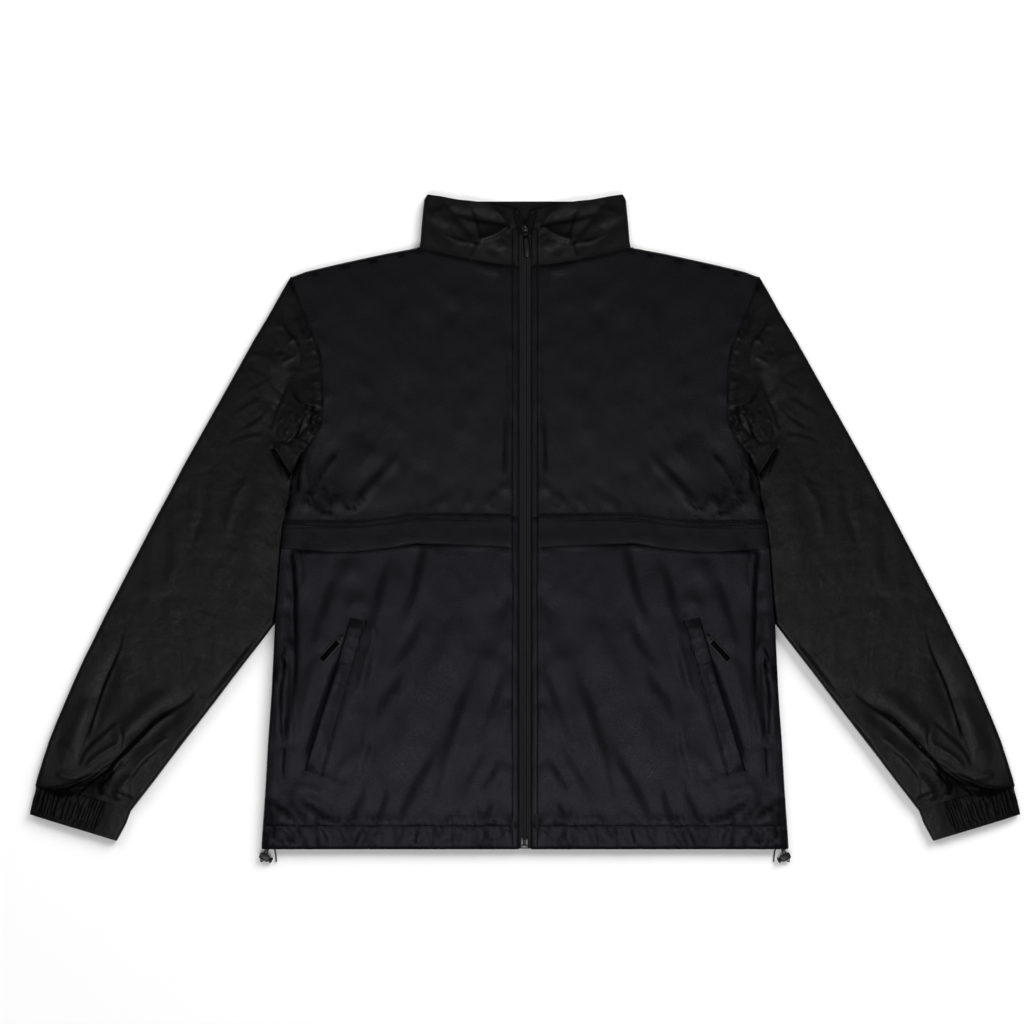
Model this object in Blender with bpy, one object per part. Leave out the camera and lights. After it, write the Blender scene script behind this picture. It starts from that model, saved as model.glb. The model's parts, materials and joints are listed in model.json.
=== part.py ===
# Windbreaker jacket lying flat on its back, zip closed. Metres, +Z up, hem towards -Y.
# Each half is drafted once for +X and mirrored for -X.
import math

import bmesh
import bpy
import numpy as np
from mathutils import Matrix, Vector

UNIT = 0.00114  # metres in one drafting unit
MID_DROP = 521.75  # drop of the garment's middle, from the drafting line
HEM_DROP = 848.5

CLOTH = 0.0012  # one ply of shell cloth
DOUBLE_CLOTH = 0.0024  # collar and cuffs are folded double
SEAM_GAP = 0.0003
SIDE_HEIGHT = 0.004  # height of the folded outline above the floor
BODY_HEIGHT = 0.0122
CUFF_HEIGHT = 0.0100
ROLL = 0.010  # how far in from the outline the cloth curves over

ZIP_HALF = 6.5  # centre line to the folded front edge, in drafting units
ZIP_TOP = 232.0  # drop where the slider closes the zip
TAPE = 0.0010
TAPE_WIDE = 14.0
TAPE_UNDER_COLLAR = 0.0031  # collar's outer face down to the tape's upper face
TAPE_UNDER_FRONT = 0.00155

# Outlines of one half: (out from the centre line, drop), in drafting units.
COLLAR_SIDE = [(98, 195), (101, 200), (103.5, 225), (104.8, 242), (106, 248)]
SHOULDER = [(106, 248), (139, 254), (167, 260), (194, 266), (219, 272), (235, 278)]
SLEEVE_OUTER = [
    (235, 278), (242, 290), (256, 315), (271, 340), (285, 365), (299, 390), (313, 415),
    (327, 440), (341, 465), (354, 490), (367.5, 515), (380.5, 540), (393.5, 565),
    (406.5, 590), (419.5, 615), (431.5, 640), (441.5, 660), (450.5, 680), (459, 700),
    (467.5, 720), (475.5, 740), (482, 760), (488.3, 780), (489.5, 786),
]
CUFF_OUTER = [(489.5, 786), (491.5, 798), (493.5, 812)]
SLEEVE_INNER = [
    (222.5, 453.5), (230, 468), (234, 480), (236, 496), (239, 512), (243, 530), (246, 560),
    (248.8, 600), (251.2, 624), (262.5, 640), (278, 660), (293.5, 680), (308.5, 700),
    (324, 720), (339.5, 740), (355, 760), (370, 780), (385.5, 800), (394.5, 811.5),
]
CUFF_INNER = [(394.5, 811.5), (399, 824), (408, 840.5)]
BODY_SIDE = [
    (222.5, 453.5), (229.2, 468), (233, 480), (235, 496), (238, 512), (242, 530), (245, 560),
    (247.8, 600), (250, 626), (251.5, 660), (253.5, 700), (256.5, 740), (259, 784),
    (260, 800), (262, 828), (263.3, 848.5),
]
ARMHOLE = [(235, 278), (218, 323), (205.6, 356), (203, 405), (207, 430), (222.5, 453.5)]
NECK_FRONT = [(6.5, 266.5), (25, 265), (45, 262), (75, 256), (106, 248)]
NECK_BACK = [(0, 257), (40, 256.5), (75, 253.5), (106, 248)]
COLLAR_FRONT_TOP = [(12.5, 209.5), (30, 205.5), (50, 202), (68, 200), (84, 197), (98, 195)]
COLLAR_BACK_TOP = [(0, 201), (60, 201), (84, 200), (98, 195)]
YOKE_SEAM = [(6.5, 517), (92, 516.5), (114, 517.5), (141, 521), (174, 524), (241, 524)]
FLAP_TOP = [(14, 514), (92, 513.5), (114, 514.5), (141, 518), (174, 521), (240.7, 521)]
FLAP_EDGE = [(14, 547.8), (92, 544), (112, 544.4), (135, 548), (164, 551), (190, 552), (243.6, 548)]
WELT = [(174.3, 617), (157, 620.7), (201, 775.7), (220.3, 770)]

# Largest folds and the fuller collar: (height in metres, half width in drafting units, course as (out, drop)).
FOLDS = [
    (0.0045, 11, [(222, 498), (190, 500), (160, 500), (135, 494), (118, 480)]),
    (0.0030, 12, [(149, 440), (158, 458), (172, 478)]),
    (-0.0025, 8, [(184, 440), (198, 465), (208, 486)]),
    (0.0030, 10, [(214, 372), (215, 410), (222, 436)]),
    (-0.0030, 9, [(228, 345), (240, 390), (250, 430), (247, 462)]),
    (0.0040, 12, [(262, 440), (262, 480), (268, 530), (276, 580)]),
    (-0.0035, 9, [(330, 690), (348, 711), (372, 731), (391, 748), (405, 768)]),
    (0.0035, 11, [(352, 690), (372, 708), (394, 728), (408, 748)]),
    (-0.0030, 9, [(404, 646), (421, 694), (434, 734), (446, 764)]),
    (0.0030, 10, [(428, 690), (446, 730), (462, 768)]),
    (0.0020, 10, [(244, 600), (246, 650), (248, 700), (250, 744)]),
    (-0.0025, 9, [(229, 560), (230, 620), (233, 690), (238, 740)]),
    (-0.0016, 6, [(15, 228), (40, 219), (74, 211)]),
    (0.0016, 6, [(18, 232), (44, 243), (52, 247)]),
    (-0.0016, 7, [(48, 240), (64, 222), (78, 208)]),
    (-0.0014, 8, [(48, 242), (76, 232), (100, 222)]),
    (0.0024, 42, [(0, 222), (64, 222)]),
]


def draft(table):
    """A table of (out, drop) as points in metres."""
    rows = np.array(table, float)
    return np.stack([rows[:, 0], MID_DROP - rows[:, 1]], 1) * UNIT


def along(line, shares):
    """Points at these shares of a line's length."""
    steps = np.hypot(*np.diff(line, axis=0).T)
    length = np.append(0, np.cumsum(steps))
    at = np.asarray(shares) * length[-1]
    return np.stack([np.interp(at, length, line[:, k]) for k in (0, 1)], 1)


def rounded(line, count=40):
    """The same course with its corners eased, through every given point."""
    before = np.vstack([2 * line[0] - line[1], line[:-1]])
    after = np.vstack([line[1:], 2 * line[-1] - line[-2]])
    lean = (after - before) / 2
    found = []
    for k in range(len(line) - 1):
        for t in np.linspace(0, 1, count // (len(line) - 1) + 2)[:-1]:
            found.append(
                (2 * t**3 - 3 * t**2 + 1) * line[k] + (t**3 - 2 * t**2 + t) * lean[k]
                + (3 * t**2 - 2 * t**3) * line[k + 1] + (t**3 - t**2) * lean[k + 1]
            )
    return np.array(found + [line[-1]])


def away(line, step):
    """The line moved sideways: a positive step is to the left of its run."""
    run = np.gradient(line, axis=0)
    run /= np.hypot(run[:, 0], run[:, 1])[:, None]
    return line + step * np.stack([-run[:, 1], run[:, 0]], 1)


def distance(points, line):
    """Distance of each point from a line, positive on the left of its run."""
    start, run = line[:-1], np.diff(line, axis=0)
    share = ((points[:, None] - start) * run).sum(2) / (run**2).sum(1)
    gap = points[:, None] - (start + np.clip(share, 0, 1)[..., None] * run)
    far = np.hypot(gap[..., 0], gap[..., 1])
    near = far.argmin(1)
    rel = points - start[near]
    left = run[near, 0] * rel[:, 1] - run[near, 1] * rel[:, 0]
    return far[np.arange(len(points)), near] * np.where(left >= 0, 1, -1)


OUTLINE = draft(COLLAR_SIDE + SHOULDER[1:] + SLEEVE_OUTER[1:] + CUFF_OUTER[1:])[::-1]
SIDE_LINE = draft(BODY_SIDE)[::-1]
INNER_LINE = draft(SLEEVE_INNER + CUFF_INNER[1:])
CUFF_SEAM = draft([SLEEVE_OUTER[-1], SLEEVE_INNER[-1]])[::-1]
COURSES = [(height, half * UNIT, draft(course)) for height, half, course in FOLDS]


def own_distance(points, line):
    """Distance from a panel's own line. A point past the line's ends is on the panel's side of it."""
    found = distance(points, line)
    for end in (line[0], line[-1]):
        past = (np.abs(found) > 0.004) & (np.hypot(*(points - end).T) < np.abs(found) + 1e-9)
        found = np.where(past, np.abs(found), found)
    return found


def inset(points, own_line):
    """How far a point lies inside the outline of its own panel."""
    found = np.stack([distance(points, OUTLINE), own_distance(points, own_line)])
    pick = np.abs(found).argmin(0)
    value = found[pick, np.arange(len(points))]
    return np.where(value < 0.00012, 0, value)


def swell(points):
    """Height of the upper cloth away from the outline."""
    past = np.where(points[:, 0] < 330 * UNIT, 1, distance(points, CUFF_SEAM))
    rise = np.clip(past / 0.028, 0, 1)
    height = CUFF_HEIGHT + (BODY_HEIGHT - CUFF_HEIGHT) * rise * rise * (3 - 2 * rise)
    for fold, half, course in COURSES:
        height += fold * np.exp(-((distance(points, course) / half) ** 2))
    return height


def slope(function, points, step=0.0004):
    """Rise of a function of the plan along X and along Y."""
    found = []
    for move in ((step, 0), (0, step)):
        found.append((function(points + move) - function(points - np.array(move))) / (2 * step))
    return np.stack(found, 1)


def unit(vectors):
    return vectors / np.linalg.norm(vectors, axis=-1, keepdims=True)


def edge_lean(points, own_line):
    """The way inward, across the outline, from each point."""
    measures = (lambda p: distance(p, OUTLINE), lambda p: own_distance(p, own_line))
    pick = np.abs(np.stack([measure(points) for measure in measures])).argmin(0)
    leans = np.stack([slope(measure, points) for measure in measures])
    return leans[pick, np.arange(len(points))]


def cloth(plan, own_line, height_of, up):
    """Points of cloth over a plan and the directions that face out of it, rolled over at the outline."""
    points = plan.reshape(-1, 2)
    inside = inset(points, own_line)
    turn = 1 - np.clip(inside / ROLL, 0, 1)
    roll = np.sqrt(1 - turn**2)
    tall = height_of(points)
    height = SIDE_HEIGHT + (tall - SIDE_HEIGHT) * roll
    lean = edge_lean(points, own_line)
    steep = (tall - SIDE_HEIGHT) * turn / (ROLL * np.maximum(roll, 0.03))
    rise = lean * steep[:, None] + slope(height_of, points) * roll[:, None]
    out = unit(np.column_stack([-rise * up, np.full(len(points), up)]))
    level = unit(np.column_stack([-lean, np.zeros(len(points))]))
    out = np.where(inside[:, None] <= 0, level, out)
    shape = (*plan.shape[:-1], 3)
    return np.column_stack([points, height]).reshape(shape), out.reshape(shape)


def upper(plan, own_line):
    """The upper cloth over a plan."""
    return cloth(plan, own_line, swell, 1)


def under(plan, own_line):
    """The cloth that lies on the floor, turned up at the outline."""
    return cloth(plan, own_line, lambda points: np.zeros(len(points)), -1)


def patch(top, bottom, left, right, across, down):
    """Plan of a four-sided panel from points on its edges, and the shares of its columns and rows."""
    u, v = np.asarray(across)[None, :, None], np.asarray(down)[:, None, None]
    ruled = (1 - v) * top + v * bottom + (1 - u) * left[:, None] + u * right[:, None]
    corners = (1 - u) * (1 - v) * top[0] + u * (1 - v) * top[-1]
    return ruled - corners - (1 - u) * v * bottom[0] - u * v * bottom[-1]


def shares(size, near_start, middle, near_end):
    """Grid shares of a length: set distances from each end in metres, evenly spaced between."""
    first = [x / size for x in near_start]
    last = [1 - x / size for x in reversed(near_end)]
    inner = np.linspace(first[-1], last[0], middle + 2)[1:-1]
    return np.concatenate([first, inner, last])


def material(obj, name, colour, roughness, metallic=0.0):
    found = bpy.data.materials.get(name)
    if found is None:
        found = bpy.data.materials.new(name)
        found.use_nodes = True
        shader = found.node_tree.nodes["Principled BSDF"]
        shader.inputs["Base Color"].default_value = (*colour, 1)
        shader.inputs["Roughness"].default_value = roughness
        shader.inputs["Metallic"].default_value = metallic
    obj.data.materials.clear()
    obj.data.materials.append(found)


def nylon(obj):
    material(obj, "nylon", (0.016, 0.016, 0.019), 0.55)
    return obj


def tape_cloth(obj):
    material(obj, "zip_tape", (0.02, 0.02, 0.021), 0.75)
    return obj


def metal(obj):
    material(obj, "metal", (0.55, 0.55, 0.56), 0.3, 1.0)
    return obj


def plastic(obj):
    material(obj, "plastic", (0.035, 0.035, 0.036), 0.4)
    return obj


def add(name, vertices, faces):
    mesh = bpy.data.meshes.new(name)
    mesh.from_pydata([tuple(map(float, v)) for v in vertices], [], faces)
    obj = bpy.data.objects.new(name, mesh)
    bpy.context.scene.collection.objects.link(obj)
    work = bmesh.new()
    work.from_mesh(mesh)
    bmesh.ops.recalc_face_normals(work, faces=work.faces)
    if work.calc_volume(signed=True) < 0:
        bmesh.ops.reverse_faces(work, faces=work.faces)
    work.to_mesh(mesh)
    work.free()
    return obj


def shell(name, outer, inner, mirror=1, ring=False):
    """A wall of cloth between two grids of points. A ring's columns close on themselves."""
    rows, columns = outer.shape[:2]
    skins = np.concatenate([outer.reshape(-1, 3), inner.reshape(-1, 3)]) * (mirror, 1, 1)
    far = rows * columns
    faces = []
    last = columns if ring else columns - 1
    for r in range(rows - 1):
        for c in range(last):
            a, b = r * columns + c, r * columns + (c + 1) % columns
            d, e = a + columns, b + columns
            faces += [(a, b, e, d), (a + far, d + far, e + far, b + far)]
    for r in (0, rows - 1):
        for c in range(last):
            a, b = r * columns + c, r * columns + (c + 1) % columns
            faces.append((a, b, b + far, a + far))
    if not ring:
        for c in (0, columns - 1):
            for r in range(rows - 1):
                a, b = r * columns + c, (r + 1) * columns + c
                faces.append((a, b, b + far, a + far))
    return add(name, skins, faces)


def prism(name, outline, low, high):
    """A solid between two heights over a plan outline given in order."""
    count = len(outline)
    points = [(x, y, z) for z in (low, high) for x, y in outline]
    faces = [tuple(range(count)), tuple(range(count, 2 * count))]
    for k in range(count):
        n = (k + 1) % count
        faces.append((k, n, n + count, k + count))
    return add(name, points, faces)


def rounded_box(wide, long, corner, centre=(0, 0), steps=3):
    """Plan outline of a rectangle with rounded corners."""
    found = []
    for k, (sx, sy) in enumerate([(1, 1), (-1, 1), (-1, -1), (1, -1)]):
        for s in range(steps + 1):
            angle = math.pi / 2 * (k + s / steps)
            found.append((
                centre[0] + sx * (wide / 2 - corner) + corner * math.cos(angle),
                centre[1] + sy * (long / 2 - corner) + corner * math.sin(angle),
            ))
    return found


def combine(target, other, operation):
    """Joins or cuts with a helper that stays out of the part."""
    other.hide_render = True
    other.display_type = "WIRE"
    step = target.modifiers.new(operation.lower() + "_" + other.name, "BOOLEAN")
    step.solver = "EXACT"
    step.operation = operation
    step.object = other
    return target


def box(name, x, y, z):
    """A block from three (low, high) pairs."""
    return prism(name, [(x[0], y[0]), (x[1], y[0]), (x[1], y[1]), (x[0], y[1])], *z)


def place(obj, point, heading=0.0, tilt=0.0):
    obj.matrix_world = (
        Matrix.Translation(Vector(point)) @ Matrix.Rotation(heading, 4, "Z") @ Matrix.Rotation(tilt, 4, "X")
    )
    return obj


for leftover in list(bpy.data.objects):
    bpy.data.objects.remove(leftover)

scene = bpy.context.scene
scene.unit_settings.system = "METRIC"
scene.unit_settings.scale_length = 1.0

half_gap = SEAM_GAP / 2
near_fold = (0, 0.001, 0.003, 0.0065, 0.011)
flip = np.array((-1, 1, 1))
body_side = draft(BODY_SIDE)
armhole = rounded(draft(ARMHOLE))
yoke_seam = rounded(draft(YOKE_SEAM))
seam_y = yoke_seam[-1, 1]
seam_end = np.array([np.interp(-seam_y, -body_side[:, 1], body_side[:, 0]), seam_y])
yoke_seam[-1] = seam_end
side_above = np.vstack([body_side[body_side[:, 1] > seam_y + 0.002], seam_end + (0, half_gap)])
side_below = np.vstack([seam_end - (0, half_gap), body_side[body_side[:, 1] < seam_y - 0.002]])
hem_end = BODY_SIDE[-1][0]

# Shares of the seams that two pieces meet on, so that their facets match.
neck_shares = shares(0.116, (0,), 3, near_fold[:4])
arm_over = shares(0.15, near_fold, 5, near_fold)
arm_below = np.array([0, *shares(0.15, (0.0025, 0.0065, 0.012), 3, (0.0025, 0.0065, 0.012)), 1])


def panel_top(neck, neck_at, shoulder_at):
    """A body panel's upper edge: the neck seam, then the shoulder seam."""
    neck_points = away(along(rounded(draft(neck)), neck_at), -half_gap)
    neck_points[-1] = draft(SHOULDER)[0]
    return np.vstack([neck_points, along(draft(SHOULDER), shoulder_at)])


def run_shares(points):
    """Each point's share of the length of its line."""
    length = np.append(0, np.cumsum(np.hypot(*np.diff(points, axis=0).T)))
    return length / length[-1]


# ---- back: one panel, flat on the floor, turned up at its side and shoulder seams ----
top = panel_top(NECK_BACK, neck_shares[[0, 1, 2, 3, 7]], (0.5, 0.956, 0.98, 1))
right = np.vstack([
    away(along(armhole, arm_below), -half_gap), along(body_side, (0.05, 0.12, 0.25, 0.45, 0.65, 0.85, 1)),
])
across, down = run_shares(top), run_shares(right)
back_plan = patch(
    top, along(draft([(0, HEM_DROP), (hem_end, HEM_DROP)]), np.append(across[:-3], (0.976, 0.989, 1))),
    along(draft([(0, 257.13), (0, HEM_DROP)]), down), right, across, down,
)
back_out, back_face = under(back_plan, SIDE_LINE)
back_out[..., 2] -= np.where(back_out[..., 2] >= SIDE_HEIGHT, half_gap, 0)
back_out = np.concatenate([(back_out * flip)[:, :0:-1], back_out], 1)
back_face = np.concatenate([(back_face * flip)[:, :0:-1], back_face], 1)
nylon(shell("back", back_out, back_out - CLOTH * back_face))

# ---- collar: a double stand, open at the zip and folded flat at both sides ----
rise = np.array([0, 0.2, 0.4, 0.6, 0.8, 1.0])
fold_line = along(draft(COLLAR_SIDE)[::-1], rise)
fold_line[0] += (0, SEAM_GAP)
front_neck = away(along(rounded(draft(NECK_FRONT)), neck_shares), half_gap)
rear_neck = away(along(rounded(draft(NECK_BACK)), neck_shares), half_gap)
front_neck[-1] = rear_neck[-1] = fold_line[0]
front_plan = patch(
    front_neck,
    along(rounded(draft(COLLAR_FRONT_TOP)), neck_shares),
    along(draft([(ZIP_HALF, 266.4), (ZIP_HALF, ZIP_TOP), (12.5, 209.5)]), rise), fold_line,
    neck_shares, rise,
)
rear_plan = patch(
    rear_neck,
    along(rounded(draft(COLLAR_BACK_TOP)), neck_shares),
    along(draft([(0, 256.9), (0, 201)]), rise), fold_line, neck_shares, rise,
)
front_out, front_face = upper(front_plan, SIDE_LINE)
rear_out, rear_face = under(rear_plan, SIDE_LINE)
collar_out = np.concatenate([front_out, rear_out[:, -2::-1]], 1)
collar_face = np.concatenate([front_face, rear_face[:, -2::-1]], 1)
collar_out = np.concatenate([collar_out, (collar_out * flip)[:, -2::-1]], 1)
collar_face = np.concatenate([collar_face, (collar_face * flip)[:, -2::-1]], 1)
nylon(shell("collar", collar_out, collar_out - DOUBLE_CLOTH * collar_face))


def tube_plan(first, outer, inner, across, down, lag=1.0):
    """Plan of a flattened tube: straight sections between two edges, after a bowed first one."""
    u, v = np.asarray(across)[None, :, None], np.asarray(down)[:, None, None]
    outer, inner = along(outer, down)[:, None], along(inner, np.asarray(down) ** lag)[:, None]
    bulge = first - ((1 - u[0]) * outer[0] + u[0] * inner[0])
    return (1 - u) * outer + u * inner + bulge * (1 - v) ** 3


def tube(name, plan_of, over, below, down, thick, side, rib=0.0):
    """A flattened tube of cloth: its upper half over its lower half, closed at both folds."""
    top_out, top_face = upper(plan_of(over), INNER_LINE)
    low_out, low_face = under(plan_of(below)[:, -2:0:-1], INNER_LINE)
    if rib:
        wave = rib * np.cos(math.pi * np.arange(len(over))) * (over < 0.75) * (over > 0.03)
        fade = np.clip(np.asarray(down) / 0.3, 0, 1)[:, None, None]
        top_out = top_out + wave[None, :, None] * top_face * fade
    out = np.concatenate([top_out, low_out], 1)
    face = np.concatenate([top_face, low_face], 1)
    return nylon(shell(name, out, out - thick * face, side, ring=True))


def strip(inner, outer, rows, across):
    """Plan of a band between two straight edges."""
    u = np.asarray(across)[None, :, None]
    return (1 - u) * along(inner, rows)[:, None] + u * along(outer, rows)[:, None]


def over_panel(name, plan, low, thick, side, own_line=SIDE_LINE):
    """A piece laid on a panel: the panel's points moved out."""
    points, facing = upper(plan, own_line)
    return shell(name, points + (low + thick) * facing, points + low * facing, side)


def slider_solid(name, plate, thick, arch, opening, bar):
    """A zip slider's plate with the arch that holds its pull; the arch's opening is centred on the origin."""
    low = -opening / 2 - thick
    body = prism(name, plate, low, low + thick)
    reach = opening / 2 + bar
    arch_solid = box(name + "_arch", (-arch / 2, arch / 2), (-reach, reach), (low + thick / 2, reach))
    hole = box(name + "_opening", (-arch, arch), (-opening / 2, opening / 2), (low + thick, opening / 2))
    combine(arch_solid, hole, "DIFFERENCE")
    combine(body, arch_solid, "UNION")
    return body


sleeve_down = np.array([0, 0.035, 0.08, 0.14, 0.21, 0.29, 0.37, 0.45, 0.53, 0.61, 0.69, 0.76, 0.83, 0.895, 0.95, 1])
cuff_down = np.array([0, 0.2, 0.6, 1])
cuff_over = shares(0.11, near_fold, 6, near_fold)
cuff_below = np.array([0, *shares(0.11, (0.0025, 0.0065, 0.012), 2, (0.0025, 0.0065, 0.012)), 1])
tape_rows = [848.2, 760, 680, 600, 520, 440, 360, 286, 268, 250, 238, 232, 226, 219, 210]
slider_middle = 228.5
tape_level = float(swell(draft([(0, slider_middle)]))[0]) - TAPE_UNDER_COLLAR

for side, hand in (("left", -1), ("right", 1)):
    # ---- front, in two panels that meet under the storm flap ----
    across = shares(0.265, (0, 0.012), 6, near_fold)
    down = shares(0.37, (0, 0.018), 8, (0, 0.012, 0.027))
    seam = away(along(yoke_seam, across), -SEAM_GAP)
    seam[-1] = side_below[0]
    front_line = np.array([seam[0], draft([(ZIP_HALF, HEM_DROP)])[0]])
    plan = patch(
        seam, along(draft([(ZIP_HALF, HEM_DROP), (hem_end, HEM_DROP)]), across),
        along(front_line, down), along(side_below, down), across, down,
    )
    points, facing = upper(plan, SIDE_LINE)
    points[:, -1, 2] += half_gap
    nylon(shell(f"front_lower_{side}", points, points - CLOTH * facing, hand))

    top = panel_top(NECK_FRONT, neck_shares[[0, 1, 2, 3, 4, 7]], (0.35, 0.7, 0.956, 0.98, 0.993, 1))
    arm_edge = away(along(armhole, arm_over), -half_gap) - np.outer(arm_over > 0.97, (0.0004, 0))
    right = np.vstack([arm_edge, along(side_above, (0.25, 0.5, 0.75, 1))])
    across, down = run_shares(top), run_shares(right)
    seam = away(along(yoke_seam, across), SEAM_GAP)
    seam[-1] = right[-1]
    plan = patch(top, seam, along(np.array([top[0], seam[0]]), down), right, across, down)
    points, facing = upper(plan, SIDE_LINE)
    points[:, :, 2] += np.where(points[:, :, 2] <= SIDE_HEIGHT, half_gap, 0)
    nylon(shell(f"front_yoke_{side}", points, points - CLOTH * facing, hand))

    flap_side = away(draft([(239.5, 520), (242, 534), (243.6, 548)]), -0.0011)
    across = np.append(np.linspace(0, 0.96, 9), (0.978, 0.99, 1))
    down = np.array([0, 0.35, 0.7, 1])
    flap_top, flap_edge = rounded(draft(FLAP_TOP)), rounded(draft(FLAP_EDGE))
    flap_top[-1], flap_edge[-1] = flap_side[0], flap_side[-1]
    flap_top, flap_edge = along(flap_top, across), along(flap_edge, across)
    ends = np.array([flap_top[0], flap_edge[0]])
    flap = patch(flap_top, flap_edge, along(ends, down), along(flap_side, down), across, down)
    nylon(over_panel(f"storm_flap_{side}", flap, 0.0005, CLOTH, hand))

    # ---- sleeve, in an upper and an under panel joined along both edges, and cuff ----
    sleeve_outer, sleeve_inner = draft(SLEEVE_OUTER), draft(SLEEVE_INNER)
    cuff_outer, cuff_inner = draft(CUFF_OUTER), draft(CUFF_INNER)
    for line, step in ((sleeve_outer, half_gap), (sleeve_inner, half_gap)):
        line[-1] += (0, step)
    cuff_outer[0] -= (0, half_gap)
    cuff_inner[0] -= (0, half_gap)

    def sleeve_plan(across):
        first = away(along(armhole, across), half_gap)
        return tube_plan(first, sleeve_outer, sleeve_inner, across, sleeve_down, 1.35)

    def cuff_plan(across):
        ends = np.array([cuff_outer[0], cuff_inner[0]])
        return tube_plan(along(ends, across), cuff_outer, cuff_inner, across, cuff_down)

    points, facing = upper(sleeve_plan(arm_over), INNER_LINE)
    points[..., 2] += np.where(points[..., 2] <= SIDE_HEIGHT, half_gap, 0)
    nylon(shell(f"sleeve_over_{side}", points, points - CLOTH * facing, hand))
    points, facing = under(sleeve_plan(arm_below), INNER_LINE)
    points[..., 2] -= np.where(points[..., 2] >= SIDE_HEIGHT, half_gap, 0)
    nylon(shell(f"sleeve_under_{side}", points, points - CLOTH * facing, hand))
    tube(f"cuff_{side}", cuff_plan, cuff_over, cuff_below, cuff_down, DOUBLE_CLOTH, hand, rib=0.0006)

    # ---- front zip: one tape each side, under the folded front edges ----
    drop = np.array(tape_rows, float)
    spread = np.clip((ZIP_TOP - drop) / (ZIP_TOP - 209.5), 0, 1) * 5.9
    depth = np.interp(drop, [268, 286], [TAPE_UNDER_COLLAR, TAPE_UNDER_FRONT])
    out = np.array([0.0, 0.5, 1.0]) * TAPE_WIDE * UNIT
    plan = np.zeros((len(drop), 3, 2))
    plan[..., 0] = out + (spread * UNIT + half_gap)[:, None]
    plan[..., 1] = ((MID_DROP - drop) * UNIT)[:, None]
    height = swell(plan.reshape(-1, 2)).reshape(plan.shape[:2]) - depth[:, None]
    tape_top = np.concatenate([plan, height[..., None]], 2)
    tape_cloth(shell(f"zip_tape_{side}", tape_top, tape_top - (0, 0, TAPE), hand))
    stop_at = draft([(7.6, 212.5)])[0]
    stop = prism(
        f"zip_stop_{side}", rounded_box(0.0018, 0.0034, 0.0006, (hand * stop_at[0], stop_at[1])),
        tape_level + 0.0003, tape_level + 0.0016,
    )
    metal(stop)

    # ---- slanted pocket: welt, the zip tape under it, slider and pull ----
    inner_edge, outer_edge = draft([WELT[1], WELT[2]]), draft([WELT[0], WELT[3]])
    run = unit(outer_edge[1] - outer_edge[0])
    sideways = np.array((-run[1], run[0]))
    rows, across = np.linspace(0, 1, 7), np.array([0, 0.5, 1])
    plan = strip(inner_edge, outer_edge, rows, across)
    nylon(over_panel(f"pocket_welt_{side}", plan, 0.0016, CLOTH, hand))
    lip = np.array([outer_edge[0] + 0.004 * run, outer_edge[1] - 0.004 * run])
    plan = strip(lip - 0.008 * sideways, lip + 0.0012 * sideways, rows, across[::2])
    tape_cloth(over_panel(f"pocket_zip_{side}", plan, 0.0004, TAPE - 0.0001, hand))

    middle = draft([(180.8, 638)])[0] + 0.0025 * sideways
    panel = float(swell(middle[None])[0])
    opening = 0.0028
    seat = panel + 0.0004 + TAPE - 0.0001 + 0.0003 + 0.0011 + opening / 2
    way = math.atan2(run[0], -run[1])
    slider = slider_solid(
        f"pocket_slider_{side}", rounded_box(0.0042, 0.0080, 0.0012, steps=2), 0.0011, 0.0014, opening, 0.0009,
    )
    place(metal(slider), (hand * middle[0], middle[1], seat), hand * way)
    for helper in ("_arch", "_opening"):
        place(bpy.data.objects[f"pocket_slider_{side}{helper}"], (hand * middle[0], middle[1], seat), hand * way)
    pull = prism(
        f"pocket_pull_{side}",
        [(-0.0034, 0.0006), (0.0034, 0.0006), (0.0036, -0.0050), (0.0036, -0.0340), (0.0028, -0.0350),
         (-0.0028, -0.0350), (-0.0036, -0.0340), (-0.0036, -0.0050)],
        -0.0008, 0.0008,
    )
    eye = box(f"pocket_pull_eye_{side}", (-0.0021, 0.0021), (-0.0038, -0.0006), (-0.002, 0.002))
    combine(pull, eye, "DIFFERENCE")
    for obj in (pull, eye):
        place(obj, (hand * middle[0], middle[1], seat), hand * math.radians(42.4), math.radians(3.6))
    plastic(pull)

    # ---- hem drawcord: out of the casing, doubled back through its lock, one free end ----
    knots = np.array([
        (256.5, 838, 2.6), (256.8, 844, 2.6), (258.4, 849.5, 2.9), (261.0, 853.1, 3.5), (262.6, 856, 3.5),
        (264.2, 859.1, 3.5), (264.2, 862.0, 3.5), (261.8, 860.4, 3.5), (260.2, 857.4, 3.5), (258.6, 854.4, 3.6),
        (257.0, 850, 3.0), (255.4, 845.5, 2.6), (253.4, 843.6, 2.5), (251.6, 845.5, 2.5), (250.6, 850, 2.4),
        (249.6, 856, 1.7), (249.2, 862.5, 0.9),
    ])
    course = np.column_stack([draft([tuple(k[:2]) for k in knots]), knots[:, 2] / 1000]) * (hand, 1, 1)
    cord = rounded(course, 34)
    path = bpy.data.curves.new(f"drawcord_{side}", "CURVE")
    path.dimensions = "3D"
    path.bevel_depth = 0.0008
    path.bevel_resolution = 2
    path.use_fill_caps = True
    spline = path.splines.new("POLY")
    spline.points.add(len(cord) - 1)
    for point, spot in zip(spline.points, cord):
        point.co = (*spot, 1)
    cord_object = bpy.data.objects.new(f"drawcord_{side}", path)
    scene.collection.objects.link(cord_object)
    plastic(cord_object)

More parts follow.
